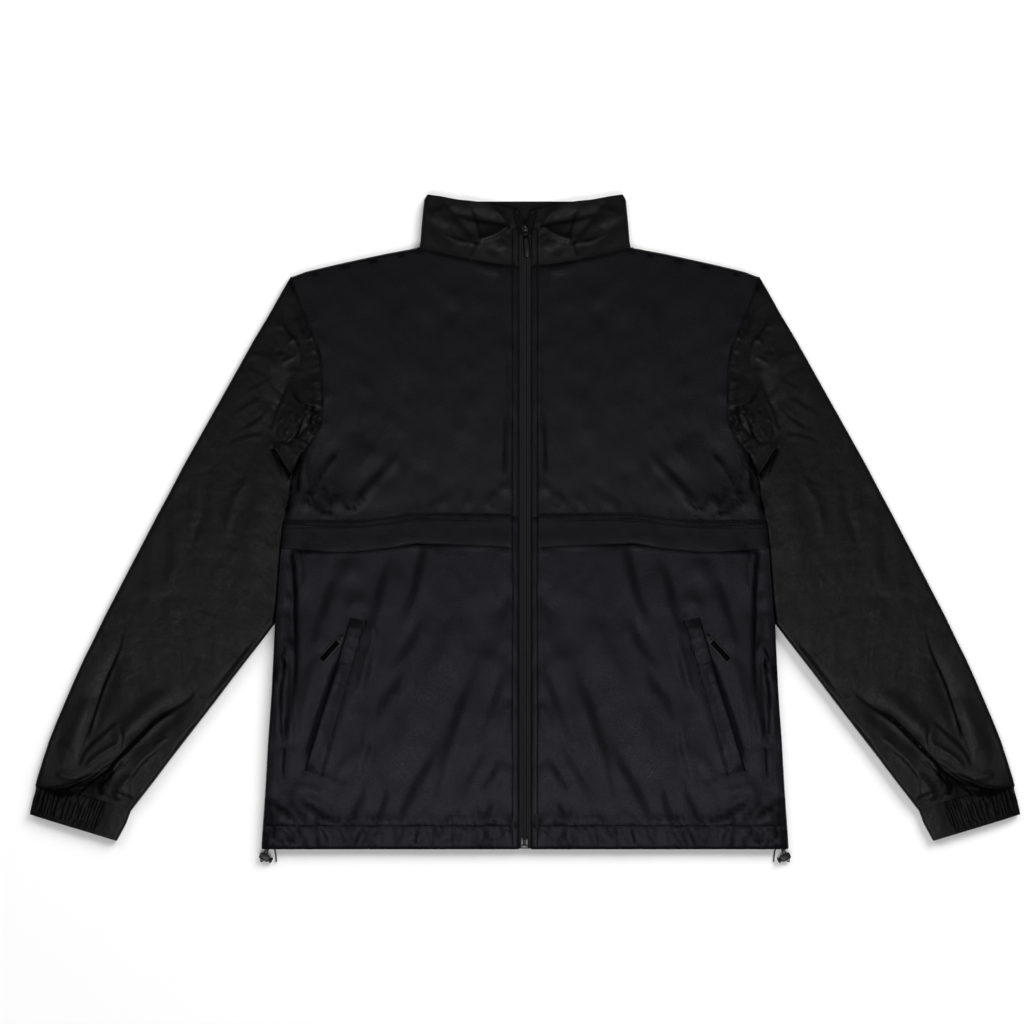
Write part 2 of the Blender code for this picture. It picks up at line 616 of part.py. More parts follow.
    centre = draft([(259.2, 857.9)])[0] * (hand, 1)
    lean = math.radians(28) * hand
    lock = prism(f"cord_lock_{side}", rounded_box(0.0157, 0.0078, 0.0024), -0.0035, 0.0035)
    place(lock, (*centre, 0.0035), lean)
    for k, at in enumerate((0.0045, 0.0013)):
        hole = prism(f"cord_lock_hole_{side}_{k}", rounded_box(0.0023, 0.02, 0.0001, (hand * at, 0), 1), -0.0012, 0.0012)
        place(hole, (*centre, 0.0035), lean)
        combine(lock, hole, "DIFFERENCE")
    edge = lock.modifiers.new("edge", "BEVEL")
    edge.width = 0.0006
    edge.segments = 1
    edge.limit_method = "ANGLE"
    edge.angle_limit = math.radians(50)
    plastic(lock)

# ---- zip slider: upper and lower plates joined by a post between the tapes ----
opening = 0.0017
hinge = draft([(0, slider_middle)])[0] + (0, 0.0016)
hinge_z = tape_level + 0.00035 + 0.0014 + opening / 2
plate = [(-0.0036, 0.0026), (0.0036, 0.0026), (0.0040, 0.0018), (0.0040, -0.0008), (0.0029, -0.0056),
         (-0.0029, -0.0056), (-0.0040, -0.0008), (-0.0040, 0.0018)]
slider = slider_solid("zip_slider", plate, 0.0014, 0.0016, opening, 0.0009)
foot = -opening / 2 - 0.0014 - 0.00035 - TAPE - 0.00035
bottom = prism("zip_slider_bottom", plate, foot - 0.0011, foot)
post = box("zip_slider_post", (-0.0008, 0.0008), (-0.0004, 0.0022), (foot - 0.0006, -opening / 2 - 0.0007))
combine(bottom, post, "UNION")
combine(slider, bottom, "UNION")
for name in ("zip_slider", "zip_slider_arch", "zip_slider_opening", "zip_slider_bottom", "zip_slider_post"):
    place(bpy.data.objects[name], (*hinge, hinge_z))
metal(slider)

ring = bpy.data.curves.new("zip_ring", "CURVE")
ring.dimensions = "3D"
ring.bevel_depth = 0.0005
ring.bevel_resolution = 2
loop = ring.splines.new("POLY")
corners = rounded_box(0.0050, 0.0086, 0.0012, (0, -0.0043))
loop.points.add(len(corners) - 1)
for point, spot in zip(loop.points, corners):
    point.co = (*spot, 0, 1)
loop.use_cyclic_u = True
ring_object = bpy.data.objects.new("zip_ring", ring)
scene.collection.objects.link(ring_object)
metal(ring_object)

tab_outline = [(-0.0016, -0.0086), (-0.0016, -0.0108), (-0.0036, -0.0122), (-0.0036, -0.0325), (-0.0028, -0.0345),
               (-0.0012, -0.0354), (0.0012, -0.0354), (0.0028, -0.0345), (0.0036, -0.0325), (0.0036, -0.0122),
               (0.0016, -0.0108), (0.0016, -0.0086)]
tab = prism("zip_tab", tab_outline, -0.0007, 0.0007)
eye_round = [(0.0014 * math.cos(a), 0.0014 * math.sin(a)) for a in np.linspace(0, 2 * math.pi, 13)[:-1]]
bore_round = [(0.00082 * math.cos(a), 0.00082 * math.sin(a)) for a in np.linspace(0, 2 * math.pi, 13)[:-1]]
eye = prism("zip_tab_eye", eye_round, -0.0016, 0.0016)
bore = prism("zip_tab_bore", bore_round, -0.003, 0.003)
for obj in (eye, bore):
    obj.data.transform(Matrix.Translation((0, -0.0086, 0)) @ Matrix.Rotation(math.pi / 2, 4, "Y"))
combine(tab, eye, "UNION")
combine(tab, bore, "DIFFERENCE")
for obj in (ring_object, tab, eye, bore):
    place(obj, (hinge[0] + 0.0004, hinge[1], hinge_z), math.radians(4), math.radians(2.6))
plastic(tab)

# ---- retainer box at the zip's lower end ----
box_at = draft([(0, 842.4)])
level = float(swell(box_at)[0]) - TAPE_UNDER_FRONT
retainer = prism("zip_box", rounded_box(0.0086, 0.0122, 0.0012, (-0.0008, box_at[0, 1])), level + 0.0003, level + 0.0021)
metal(retainer)
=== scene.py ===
import json
import math

import bmesh
import bpy
import numpy as np
from mathutils import Matrix, Vector


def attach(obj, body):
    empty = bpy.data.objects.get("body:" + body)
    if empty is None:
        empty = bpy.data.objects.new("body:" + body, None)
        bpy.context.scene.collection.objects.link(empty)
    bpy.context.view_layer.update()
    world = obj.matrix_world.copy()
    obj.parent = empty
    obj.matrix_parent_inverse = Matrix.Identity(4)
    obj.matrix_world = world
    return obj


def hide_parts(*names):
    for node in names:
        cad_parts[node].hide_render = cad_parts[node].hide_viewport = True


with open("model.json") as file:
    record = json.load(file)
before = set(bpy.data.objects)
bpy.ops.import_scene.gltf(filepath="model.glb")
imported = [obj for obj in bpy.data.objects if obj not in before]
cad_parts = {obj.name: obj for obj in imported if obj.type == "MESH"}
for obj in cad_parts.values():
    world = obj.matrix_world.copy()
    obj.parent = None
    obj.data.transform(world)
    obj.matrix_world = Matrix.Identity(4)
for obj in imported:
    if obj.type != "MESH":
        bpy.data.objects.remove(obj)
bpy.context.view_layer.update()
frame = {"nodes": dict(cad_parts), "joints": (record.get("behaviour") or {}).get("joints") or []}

print("frame loaded:", len(frame["nodes"]), "nodes")

drafting = {
    "unit": 0.00114,  # metres in one drafting unit
    "middleDrop": 521.75,  # drop of the jacket's middle from the drafting line
    "hemDrop": 848.5,
    "hemStitch": 825.0,
    "zipHalf": 6.1,  # centre line to the folded front edge
    "zipStitch": 12.3,
}

shell = {
    "thick": 0.0006,  # one ply as it is drawn
    "doubled": 0.0016,
    "sideHeight": 0.0040,  # the folded outline above the floor
    "contact": 0.0042,  # how much higher it lies where sleeve and body touch
    "bodyHeight": 0.0122,
    "bodyReach": 0.31,  # how far out from the centre line the body ends
    "cuffHeight": 0.0100,
    "cuffStarts": 330,  # drafting units out, inside which no point is near a cuff
    "cuffBlend": 0.028,  # length of sleeve that comes down to the cuff's height
    "hemThins": 0.0030,
    "hemThinsFrom": 740,  # drop at which the body starts to thin
    "hemThinsOver": 150,
    "roll": 0.0060,  # how far in from the outline the cloth turns over
    "liningStride": 3,  # the hidden skin keeps every third row and column
    "sinkMost": 0.0016,  # how far at most it goes down to clear a crease
    "darkAbove": 0.0045,  # height over the floor below which no fold is darkened
    "sharp": 60,  # degrees past which an edge stays hard
}

# Outlines of one half, as (out from the centre line, drop) in drafting units.
outline = {
    "collarSide": [(98, 195), (101, 200), (103.5, 225), (104.8, 242), (106, 248)],
    "shoulder": [(106, 248), (139, 254), (167, 260), (194, 266), (219, 272), (235, 278)],
    "sleeveOuter": [
        (235, 278), (242, 290), (256, 315), (271, 340), (285, 365), (299, 390), (313, 415),
        (327, 440), (341, 465), (354, 490), (367.5, 515), (380.5, 540), (393.5, 565),
        (406.5, 590), (419.5, 615), (431.5, 640), (441.5, 660), (450.5, 680), (459, 700),
        (467.5, 720), (475.5, 740), (482, 760), (488.3, 780), (489.5, 786),
    ],
    "cuffOuter": [(489.5, 786), (489, 788.5), (492.5, 801), (495.3, 814)],
    "sleeveInner": [
        (222.5, 453.5), (229.1, 468), (232.8, 480), (234.8, 496), (237.8, 512), (241.8, 530), (244.8, 560),
        (247.6, 600), (250.4, 624), (262.5, 640), (278, 660), (293.5, 680), (308.5, 700),
        (324, 720), (339.5, 740), (355, 760), (370, 780), (385.5, 800), (394.5, 811.5),
    ],
    "cuffInner": [(394.5, 811.5), (399, 824), (408, 840.5)],
    "cuffTop": [
        (489.5, 786), (478, 788.5), (462, 789.5), (446, 793), (430, 797.5), (412, 803.5), (402, 808),
        (394.5, 811.5),
    ],
    "bodySide": [
        (222.5, 453.5), (229.2, 468), (233, 480), (235, 496), (238, 512), (242, 530), (245, 560),
        (247.8, 600), (250, 626), (251.5, 660), (253.5, 700), (256.5, 740), (259, 784),
        (260, 800), (262, 828), (263.3, 848.5),
    ],
    "armhole": [(235, 278), (218, 323), (205.6, 356), (203, 405), (207, 430), (222.5, 453.5)],
    "neckFront": [(6.1, 266.5), (25, 265), (45, 262), (75, 256), (106, 248)],
    "neckBack": [(0, 257), (40, 256.5), (75, 253.5), (106, 248)],
    "collarTop": [(12.5, 209.5), (30, 205.5), (50, 202), (68, 200), (84, 197), (98, 195)],
    "collarBackTop": [(0, 201), (60, 201), (84, 200), (98, 195)],
    "yokeSeam": [(6.1, 516.5), (92, 516), (114, 517), (141, 520.5), (174, 523.5), (241, 523.5)],
    "flapTop": [(14, 514), (92, 513.5), (114, 514.5), (141, 518), (174, 521), (240.7, 521)],
    "flapEdge": [(14, 547.8), (92, 544), (112, 544.4), (135, 548), (164, 551), (190, 552), (243.6, 548)],
}


def draft(table):
    rows = np.array(table, float)
    return np.stack([rows[:, 0], drafting["middleDrop"] - rows[:, 1]], 1) * drafting["unit"]


def dropOf(points):  # the drafted drop of points in metres
    return drafting["middleDrop"] - points[:, 1] / drafting["unit"]


def along(line, shares):  # points at these shares of a line's length
    length = np.append(0, np.cumsum(np.hypot(*np.diff(line, axis=0).T)))
    at = np.asarray(shares) * length[-1]
    return np.stack([np.interp(at, length, line[:, k]) for k in (0, 1)], 1)


def rounded(line, count=8):  # the same course with its corners eased, through every given point
    before = np.vstack([2 * line[0] - line[1], line[:-1]])
    after = np.vstack([line[1:], 2 * line[-1] - line[-2]])
    lean = (after - before) / 2
    t = np.linspace(0, 1, count, endpoint=False)[:, None]
    found = [
        (2 * t**3 - 3 * t**2 + 1) * line[k] + (t**3 - 2 * t**2 + t) * lean[k]
        + (3 * t**2 - 2 * t**3) * line[k + 1] + (t**3 - t**2) * lean[k + 1]
        for k in range(len(line) - 1)
    ]
    return np.vstack(found + [line[-1:]])


def away(line, step):  # the line moved sideways, to the left of its run where the step is positive
    run = np.gradient(line, axis=0)
    run /= np.hypot(run[:, 0], run[:, 1])[:, None]
    return line + step * np.stack([-run[:, 1], run[:, 0]], 1)


def nearest(points, line):  # signed distance from a line, positive on its left, and the length along it
    start, run = line[:-1], np.diff(line, axis=0)
    size = np.hypot(run[:, 0], run[:, 1])
    rel = points[:, None] - start
    share = np.clip((rel * run).sum(2) / size**2, 0, 1)
    gap = rel - share[..., None] * run
    far = np.hypot(gap[..., 0], gap[..., 1])
    pick, rows = far.argmin(1), np.arange(len(points))
    cross = run[pick, 0] * rel[rows, pick, 1] - run[pick, 1] * rel[rows, pick, 0]
    begun = np.append(0, np.cumsum(size))[pick]
    return far[rows, pick] * np.where(cross >= 0, 1, -1), begun + share[rows, pick] * size[pick]


def eased(x):
    x = np.clip(x, 0, 1)
    return x * x * (3 - 2 * x)


reaches = {"ridge": 2.7, "pinch": 4.6, "fold": 6.0, "edge": 5.0}  # half widths past which a crease is nothing
# What a crease looks like across its course, by distance in half widths.
profile = {
    "ridge": lambda s: np.exp(-s * s),
    "pinch": lambda s: 0.55 * np.exp(-(s / 2.1) ** 2) - np.exp(-s * s),  # a valley with raised shoulders
    "fold": lambda s: np.tanh(s / 0.45) * np.exp(-0.8 * np.abs(s)),  # raised on the left, a soft step down
    "edge": lambda s: np.tanh(s / 0.18) * np.exp(-np.abs(s)),  # the same with a sharp step
}


class Relief:  # heights over the plan of one half, on a square grid
    def __init__(self, low, high, cell):
        self.cell = cell
        self.x, self.y = (np.arange(a, b, cell) for a, b in zip(low, high))
        self.height = np.zeros((len(self.y), len(self.x)))

    def press(self, kind, height, half, line, fades=(0.3, 0.3)):
        low, high = line.min(0) - reaches[kind] * half, line.max(0) + reaches[kind] * half
        c0, c1 = np.searchsorted(self.x, (low[0], high[0]))
        r0, r1 = np.searchsorted(self.y, (low[1], high[1]))
        if c0 == c1 or r0 == r1:
            return
        spots = np.stack(np.meshgrid(self.x[c0:c1], self.y[r0:r1]), -1)
        gap, run = nearest(spots.reshape(-1, 2), line)
        share = run / np.hypot(*np.diff(line, axis=0).T).sum()
        strength = eased(share / fades[0]) if fades[0] else np.ones(len(share))
        strength = strength * (eased((1 - share) / fades[1]) if fades[1] else 1)
        wide = half * (0.55 + 0.45 * strength)
        found = height * strength * profile[kind](gap / wide)
        self.height[r0:r1, c0:c1] += found.reshape(spots.shape[:2])

    def crease(self, kind, height, half, course, fades=(0.3, 0.3)):  # sizes in millimetres
        self.press(kind, height / 1000, half / 1000, rounded(draft(course)), fades)

    def filtered(self, field, response):  # scales each wave of a field by what response gives for it
        rows, columns = field.shape
        fx, fy = np.meshgrid(np.fft.rfftfreq(columns, self.cell), np.fft.fftfreq(rows, self.cell))
        return np.fft.irfft2(np.fft.rfft2(field) * response(fx, fy), s=field.shape)

    def blurred(self, size):
        spread = 2 * (np.pi * size) ** 2
        return self.filtered(self.height, lambda fx, fy: np.exp(-spread * (fx**2 + fy**2)))

    def drift(self, height, size, stretch, heading, seed):  # uneven swells, longer along the heading
        white = np.random.default_rng(seed).standard_normal(self.height.shape)
        c, s = math.cos(heading), math.sin(heading)

        def band(fx, fy):
            run, side = (fx * c + fy * s) * stretch, fy * c - fx * s
            waves = np.hypot(run, side) * size
            return waves**2 * np.exp(-waves**2)

        found = self.filtered(white, band)
        self.height += height / 1000 * found / found.std()

    def at(self, points):
        columns = np.clip((points[:, 0] - self.x[0]) / self.cell, 0, len(self.x) - 1.001)
        rows = np.clip((points[:, 1] - self.y[0]) / self.cell, 0, len(self.y) - 1.001)
        c, r = columns.astype(int), rows.astype(int)
        u, v = columns - c, rows - r
        z = self.height
        low = (1 - u) * z[r, c] + u * z[r, c + 1]
        high = (1 - u) * z[r + 1, c] + u * z[r + 1, c + 1]
        return (1 - v) * low + v * high


lines = {name: draft(table) for name, table in outline.items()}
outerLine = np.vstack([lines[n][1:] for n in ("collarSide", "shoulder", "sleeveOuter", "cuffOuter")])[::-1]
outerLine = np.vstack([outerLine, lines["collarSide"][:1]])
sideLine = lines["bodySide"][::-1]
innerLine = np.vstack([lines["sleeveInner"], lines["cuffInner"][1:]])
cuffSeam = np.array([lines["sleeveInner"][-1], lines["sleeveOuter"][-1]])

# Creases: kind, height and half width in millimetres, course as (out, drop), and the share that each end
# fades over.
bodyFolds = [
    ("ridge", 1.3, 14, [(222, 498), (190, 500), (160, 500), (135, 494), (118, 480)]),
    ("ridge", 1.6, 16, [(149, 440), (158, 458), (172, 478)]),
    ("ridge", -1.6, 11, [(184, 440), (198, 465), (208, 486)]),
    ("ridge", 2.4, 11, [(214, 372), (215, 410), (222, 436)]),
    ("ridge", 2.0, 11, [(244, 600), (246, 650), (248, 700), (250, 744)]),
    ("ridge", -2.5, 10, [(229, 560), (230, 620), (233, 690), (238, 740)]),
]
sleeveFolds = [
    ("ridge", -3.0, 10, [(228, 345), (240, 390), (250, 430), (247, 462)]),
    ("ridge", 2.0, 16, [(262, 440), (262, 480), (268, 530), (276, 580)]),
    ("ridge", -3.5, 10, [(330, 690), (348, 711), (372, 731), (391, 748), (405, 768)]),
    ("ridge", 3.5, 12, [(352, 690), (372, 708), (394, 728), (408, 748)]),
    ("ridge", -3.0, 10, [(404, 646), (421, 694), (434, 734), (446, 764)]),
    ("ridge", 3.0, 11, [(428, 690), (446, 730), (462, 768)]),
]
collarFolds = [
    ("ridge", 2.4, 48, [(0, 222), (64, 222)], (0, 0)),
    ("ridge", -1.6, 7, [(15, 228), (40, 219), (74, 211)]),
    ("ridge", 1.6, 7, [(18, 232), (44, 243), (52, 247)]),
    ("ridge", -1.6, 8, [(48, 240), (64, 222), (78, 208)]),
    ("ridge", -1.4, 9, [(48, 242), (76, 232), (100, 222)]),
]
chestCreases = [
    ("fold", 0.8, 2.2, [(184, 445), (190, 456), (198, 466), (206, 478), (211, 489)], (0.4, 0.1)),
    ("ridge", 0.5, 2.6, [(181, 447), (187, 458), (195, 468), (203, 480), (207, 490)], (0.4, 0.2)),
    ("ridge", 0.5, 2.4, [(149, 447), (155, 455), (162, 463)], (0.4, 0.4)),
    ("ridge", 1.0, 2.2, [(120, 448), (136, 468), (155, 490), (170, 507)], (0.35, 0.1)),
    ("fold", -0.35, 2.0, [(125, 446), (141, 468), (159, 491), (172, 509)], (0.35, 0.1)),
    ("pinch", 1.2, 2.2, [(185, 496), (179, 503), (174, 511)], (0.25, 0.1)),
    ("fold", 0.8, 2.6, [(157, 494), (166, 502), (174, 511)], (0.25, 0.1)),
    ("edge", 1.2, 3.0, [(214, 494), (211, 503), (203, 511), (190, 517)], (0.1, 0.1)),
    ("edge", -1.0, 3.0, [(212, 492), (203, 494), (193, 499), (187, 508)], (0.1, 0.2)),
    ("ridge", 1.2, 4, [(206, 502), (199, 505), (190, 512)], (0.3, 0.2)),
    ("fold", -1.0, 3.0, [(186, 496), (192, 502), (190, 512)], (0.2, 0.1)),
    ("ridge", -0.9, 5, [(206, 488), (194, 493), (184, 503)], (0.3, 0.2)),
    ("pinch", 0.6, 2.4, [(118, 466), (120, 478), (124, 488)]),
    ("ridge", -0.5, 7, [(86, 490), (74, 488), (66, 492)]),
    ("edge", -1.8, 3.4, [(223, 452), (224, 474), (225, 494)], (0.15, 0.1)),
    ("fold", 0.8, 2.6, [(220, 452), (219, 470), (214, 492)], (0.2, 0.1)),
    ("edge", 1.0, 3, [(231, 490), (235, 500), (240, 510)], (0.1, 0.1)),
    ("pinch", 1.0, 2.2, [(214, 446), (222, 460), (232, 476)], (0.2, 0.1)),
    ("ridge", 0.9, 3, [(230, 496), (222, 502), (216, 510)], (0.2, 0.2)),
    ("pinch", 0.8, 2.4, [(238, 500), (230, 506), (222, 516)], (0.1, 0.2)),
    ("ridge", -0.6, 7, [(140, 462), (146, 472), (150, 482)]),
    ("ridge", -0.4, 7, [(112, 466), (102, 474), (98, 486)]),
    ("fold", 0.7, 2.0, [(17, 340), (19, 395), (17.2, 423), (21, 445), (22, 465), (26, 484)], (0.25, 0.1)),
    ("fold", -0.6, 1.8, [(16.6, 400), (17, 436), (18, 462), (18, 484)], (0.3, 0.2)),
    ("ridge", 0.8, 2.6, [(13.5, 484), (20, 489), (27, 491)], (0.2, 0.3)),
    ("ridge", 0.9, 2.8, [(26, 494), (34, 500), (40, 508)]),
    ("pinch", 0.8, 2.4, [(52, 494), (56, 502), (66, 508)]),
    ("pinch", 0.8, 2.4, [(20, 502), (30, 505), (38, 510)]),
    ("ridge", 0.7, 2.6, [(76, 500), (88, 505), (96, 511)]),
    ("ridge", -0.4, 14, [(60, 300), (90, 330), (104, 372)]),
    ("ridge", 0.45, 16, [(130, 300), (120, 350), (128, 400)]),
    ("ridge", -0.4, 14, [(172, 318), (160, 356), (150, 400)]),
    ("ridge", 0.4, 14, [(50, 380), (60, 420), (70, 455)]),
    ("fold", 0.3, 3, [(166, 378), (158, 386), (152, 394)]),
    ("pinch", 0.8, 2.4, [(207, 322), (214, 320), (219, 325)], (0.2, 0.1)),
    ("ridge", 0.8, 2.6, [(206, 338), (211, 336), (215, 340)], (0.3, 0.1)),
    ("pinch", 0.6, 2.4, [(192, 346), (200, 344), (207, 348)], (0.4, 0.1)),
    ("ridge", 0.7, 2.6, [(46, 266), (36, 269), (24, 271)], (0.1, 0.2)),
    ("pinch", 0.6, 2.0, [(42, 270), (30, 273), (20, 276)], (0.2, 0.2)),
]
lowerCreases = [
    ("fold", -1.9, 13, [(99, 544), (104, 567), (110, 590), (119, 612), (130, 634)], (0.02, 0.6)),
    ("fold", -2.0, 14, [(134, 556), (140, 575), (146, 598), (153, 622), (160, 640)], (0.3, 0.5)),
    ("ridge", 1.5, 13, [(188, 560), (176, 568), (160, 578)], (0.5, 0.5)),
    ("ridge", 1.4, 13, [(176, 594), (168, 604), (166, 616)], (0.5, 0.5)),
    ("ridge", 1.2, 9, [(206, 628), (205, 640), (207, 656)], (0.5, 0.5)),
    ("fold", -1.7, 12, [(186, 566), (195, 594), (206, 626), (212, 650)], (0.4, 0.5)),
    ("fold", -1.6, 13, [(100, 612), (110, 636), (124, 658), (138, 676)], (0.4, 0.5)),
    ("fold", -1.6, 13, [(112, 654), (126, 682), (142, 704), (150, 728)], (0.5, 0.4)),
    ("fold", -1.7, 16, [(40, 640), (52, 676), (66, 712), (78, 748), (86, 784), (88, 816)], (0.4, 0.2)),
    ("fold", -1.6, 12, [(18, 662), (27, 694), (38, 722), (50, 752)], (0.3, 0.5)),
    ("ridge", 1.2, 6, [(14.5, 706), (20, 718), (26, 732)], (0.1, 0.4)),
    ("pinch", 0.9, 3, [(17, 722), (18, 734), (18.5, 747)]),
    ("fold", -1.9, 12, [(80, 736), (96, 764), (110, 789), (119, 807), (125, 822)], (0.4, 0.05)),
    ("fold", -1.5, 12, [(30, 740), (48, 768), (62, 792), (68, 812)], (0.4, 0.4)),
    ("fold", -2.0, 9, [(20, 758), (32, 776), (45, 796)], (0.3, 0.3)),
    ("fold", -2.0, 8, [(28, 801), (34, 809), (43, 819)], (0.3, 0.2)),
    ("fold", -1.7, 9, [(134, 780), (139, 802), (148, 824)], (0.4, 0.05)),
    ("fold", -1.7, 10, [(154, 786), (166, 806), (174, 824)], (0.4, 0.05)),
    ("ridge", 1.3, 18, [(62, 600), (74, 636), (90, 676), (104, 716)], (0.4, 0.4)),
    ("ridge", 1.3, 16, [(46, 680), (66, 726), (84, 772), (98, 806)], (0.4, 0.4)),
    ("ridge", -1.2, 16, [(28, 590), (42, 630), (52, 664)]),
    ("ridge", 1.0, 14, [(106, 700), (118, 730), (132, 756)]),
    ("ridge", -1.2, 8, [(12, 584), (20, 598), (26, 618)]),
    ("pinch", 1.2, 5, [(18, 640), (20, 654), (18, 670)]),
    ("ridge", 1.3, 5, [(155, 620), (152, 638), (158, 662), (162, 684), (170, 704)], (0.1, 0.3)),
    ("fold", 1.2, 6, [(154, 640), (158, 668), (164, 688), (174, 712), (182, 732)], (0.3, 0.3)),
    ("fold", 1.2, 5, [(157, 736), (158, 752), (164, 772), (170, 787)], (0.3, 0.2)),
    ("fold", -1.2, 5, [(174, 788), (188, 782), (201, 775)], (0.2, 0.1)),
    ("fold", 0.9, 5, [(160, 716), (155, 738), (160, 762)], (0.4, 0.3)),
    ("ridge", 0.9, 5, [(160, 752), (174, 760), (188, 772)], (0.3, 0.2)),
    ("fold", -2.4, 8, [(184, 655), (196, 690), (208, 724), (219, 764)], (0.15, 0.15)),
    ("ridge", 1.5, 9, [(203, 645), (217, 700), (228, 752)]),
    ("edge", -1.9, 7, [
        (231.5, 549), (228.8, 581), (228, 620), (227.6, 660), (229.5, 700), (232, 730),
    ], (0.03, 0.2)),
    ("pinch", 1.7, 3, [(223.6, 550), (221.8, 571), (223, 592)], (0.03, 0.4)),
    ("ridge", 2.6, 3.2, [
        (242, 640), (236, 644), (232.6, 656), (232, 684), (233, 716), (236, 736), (240, 745),
    ], (0.1, 0.15)),
    ("edge", 2.4, 3.4, [(241, 650), (240, 668), (244, 684), (245, 706), (244, 735), (240, 745)], (0.2, 0.1)),
    ("pinch", 2.4, 2.2, [(243, 643), (239, 650), (243, 657), (239, 664), (243, 672), (240, 680)], (0.1, 0.1)),
    ("pinch", 1.6, 3, [(239, 746), (240.6, 768), (239.4, 786)], (0.1, 0.3)),
    ("fold", 1.2, 6, [(252, 690), (251, 730), (254, 765)]),
    ("fold", 2.4, 6, [(259, 798), (250, 805), (240, 811), (228, 823)], (0.05, 0.05)),
    ("fold", 2.0, 7, [(232, 793), (216, 806), (200, 817), (182, 824)], (0.2, 0.1)),
    ("ridge", 1.4, 7, [(236, 788), (218, 790), (193, 797)]),
    ("ridge", 1.6, 5, [(256, 818), (246, 820), (238, 824)]),
    ("fold", 1.0, 4, [(242, 566), (236, 570), (230, 578)]),
    ("fold", 1.1, 4, [(245, 590), (238, 596), (230, 604)]),
    ("fold", 1.1, 4, [(246, 618), (240, 616), (232, 622)]),
    ("fold", -1.0, 4, [(246, 634), (240, 630), (234, 636)]),
    ("fold", 1.0, 4, [(252, 676), (248, 690), (249, 704)]),
]
hemCreases = [
    ("fold", 1.2, 4, [(258, 829), (250, 836), (246, 845)], (0.1, 0.2)),
    ("fold", 1.2, 4, [(246, 828), (238, 836), (236, 846)], (0.1, 0.2)),
    ("pinch", 1.0, 3, [(228, 828), (222, 836), (216, 843)], (0.1, 0.2)),
    ("fold", 0.9, 4, [(206, 827), (200, 837), (199, 846)], (0.1, 0.3)),
    ("pinch", 0.9, 3, [(186, 828), (181, 838), (178, 845)], (0.1, 0.3)),
    ("fold", 1.0, 4, [(163, 827), (168, 836), (172, 846)], (0.1, 0.3)),
    ("fold", 0.8, 4, [(146, 827), (151, 834), (154, 842)], (0.1, 0.3)),
    ("pinch", 0.9, 3, [(121, 827), (124, 836), (129, 843)], (0.1, 0.3)),
    ("fold", 0.9, 4, [(106, 827), (110, 836), (113, 846)], (0.1, 0.3)),
    ("fold", 0.7, 4, [(82, 827), (86, 833), (91, 840)], (0.1, 0.3)),
    ("pinch", 0.9, 3, [(59, 827), (64, 835), (68, 843)], (0.1, 0.3)),
    ("fold", 0.8, 4, [(38, 827), (42, 836), (44, 845)], (0.1, 0.3)),
]
flapCreases = [
    ("ridge", -1.5, 7, [(221, 520), (218, 535), (219, 550)], (0.05, 0.05)),
    ("fold", 0.8, 5, [(171, 523), (178, 538), (182, 550)], (0.05, 0.2)),
    ("ridge", 0.7, 7, [(160, 526), (158, 540)], (0.2, 0.2)),
    ("fold", 0.5, 7, [(132, 521), (124, 532), (118, 542)], (0.1, 0.3)),
    ("fold", 0.5, 7, [(104, 517), (96, 530), (88, 540)], (0.1, 0.3)),
    ("ridge", -0.6, 8, [(74, 518), (66, 530), (62, 544)]),
    ("ridge", 0.5, 8, [(44, 518), (36, 532), (32, 546)]),
]
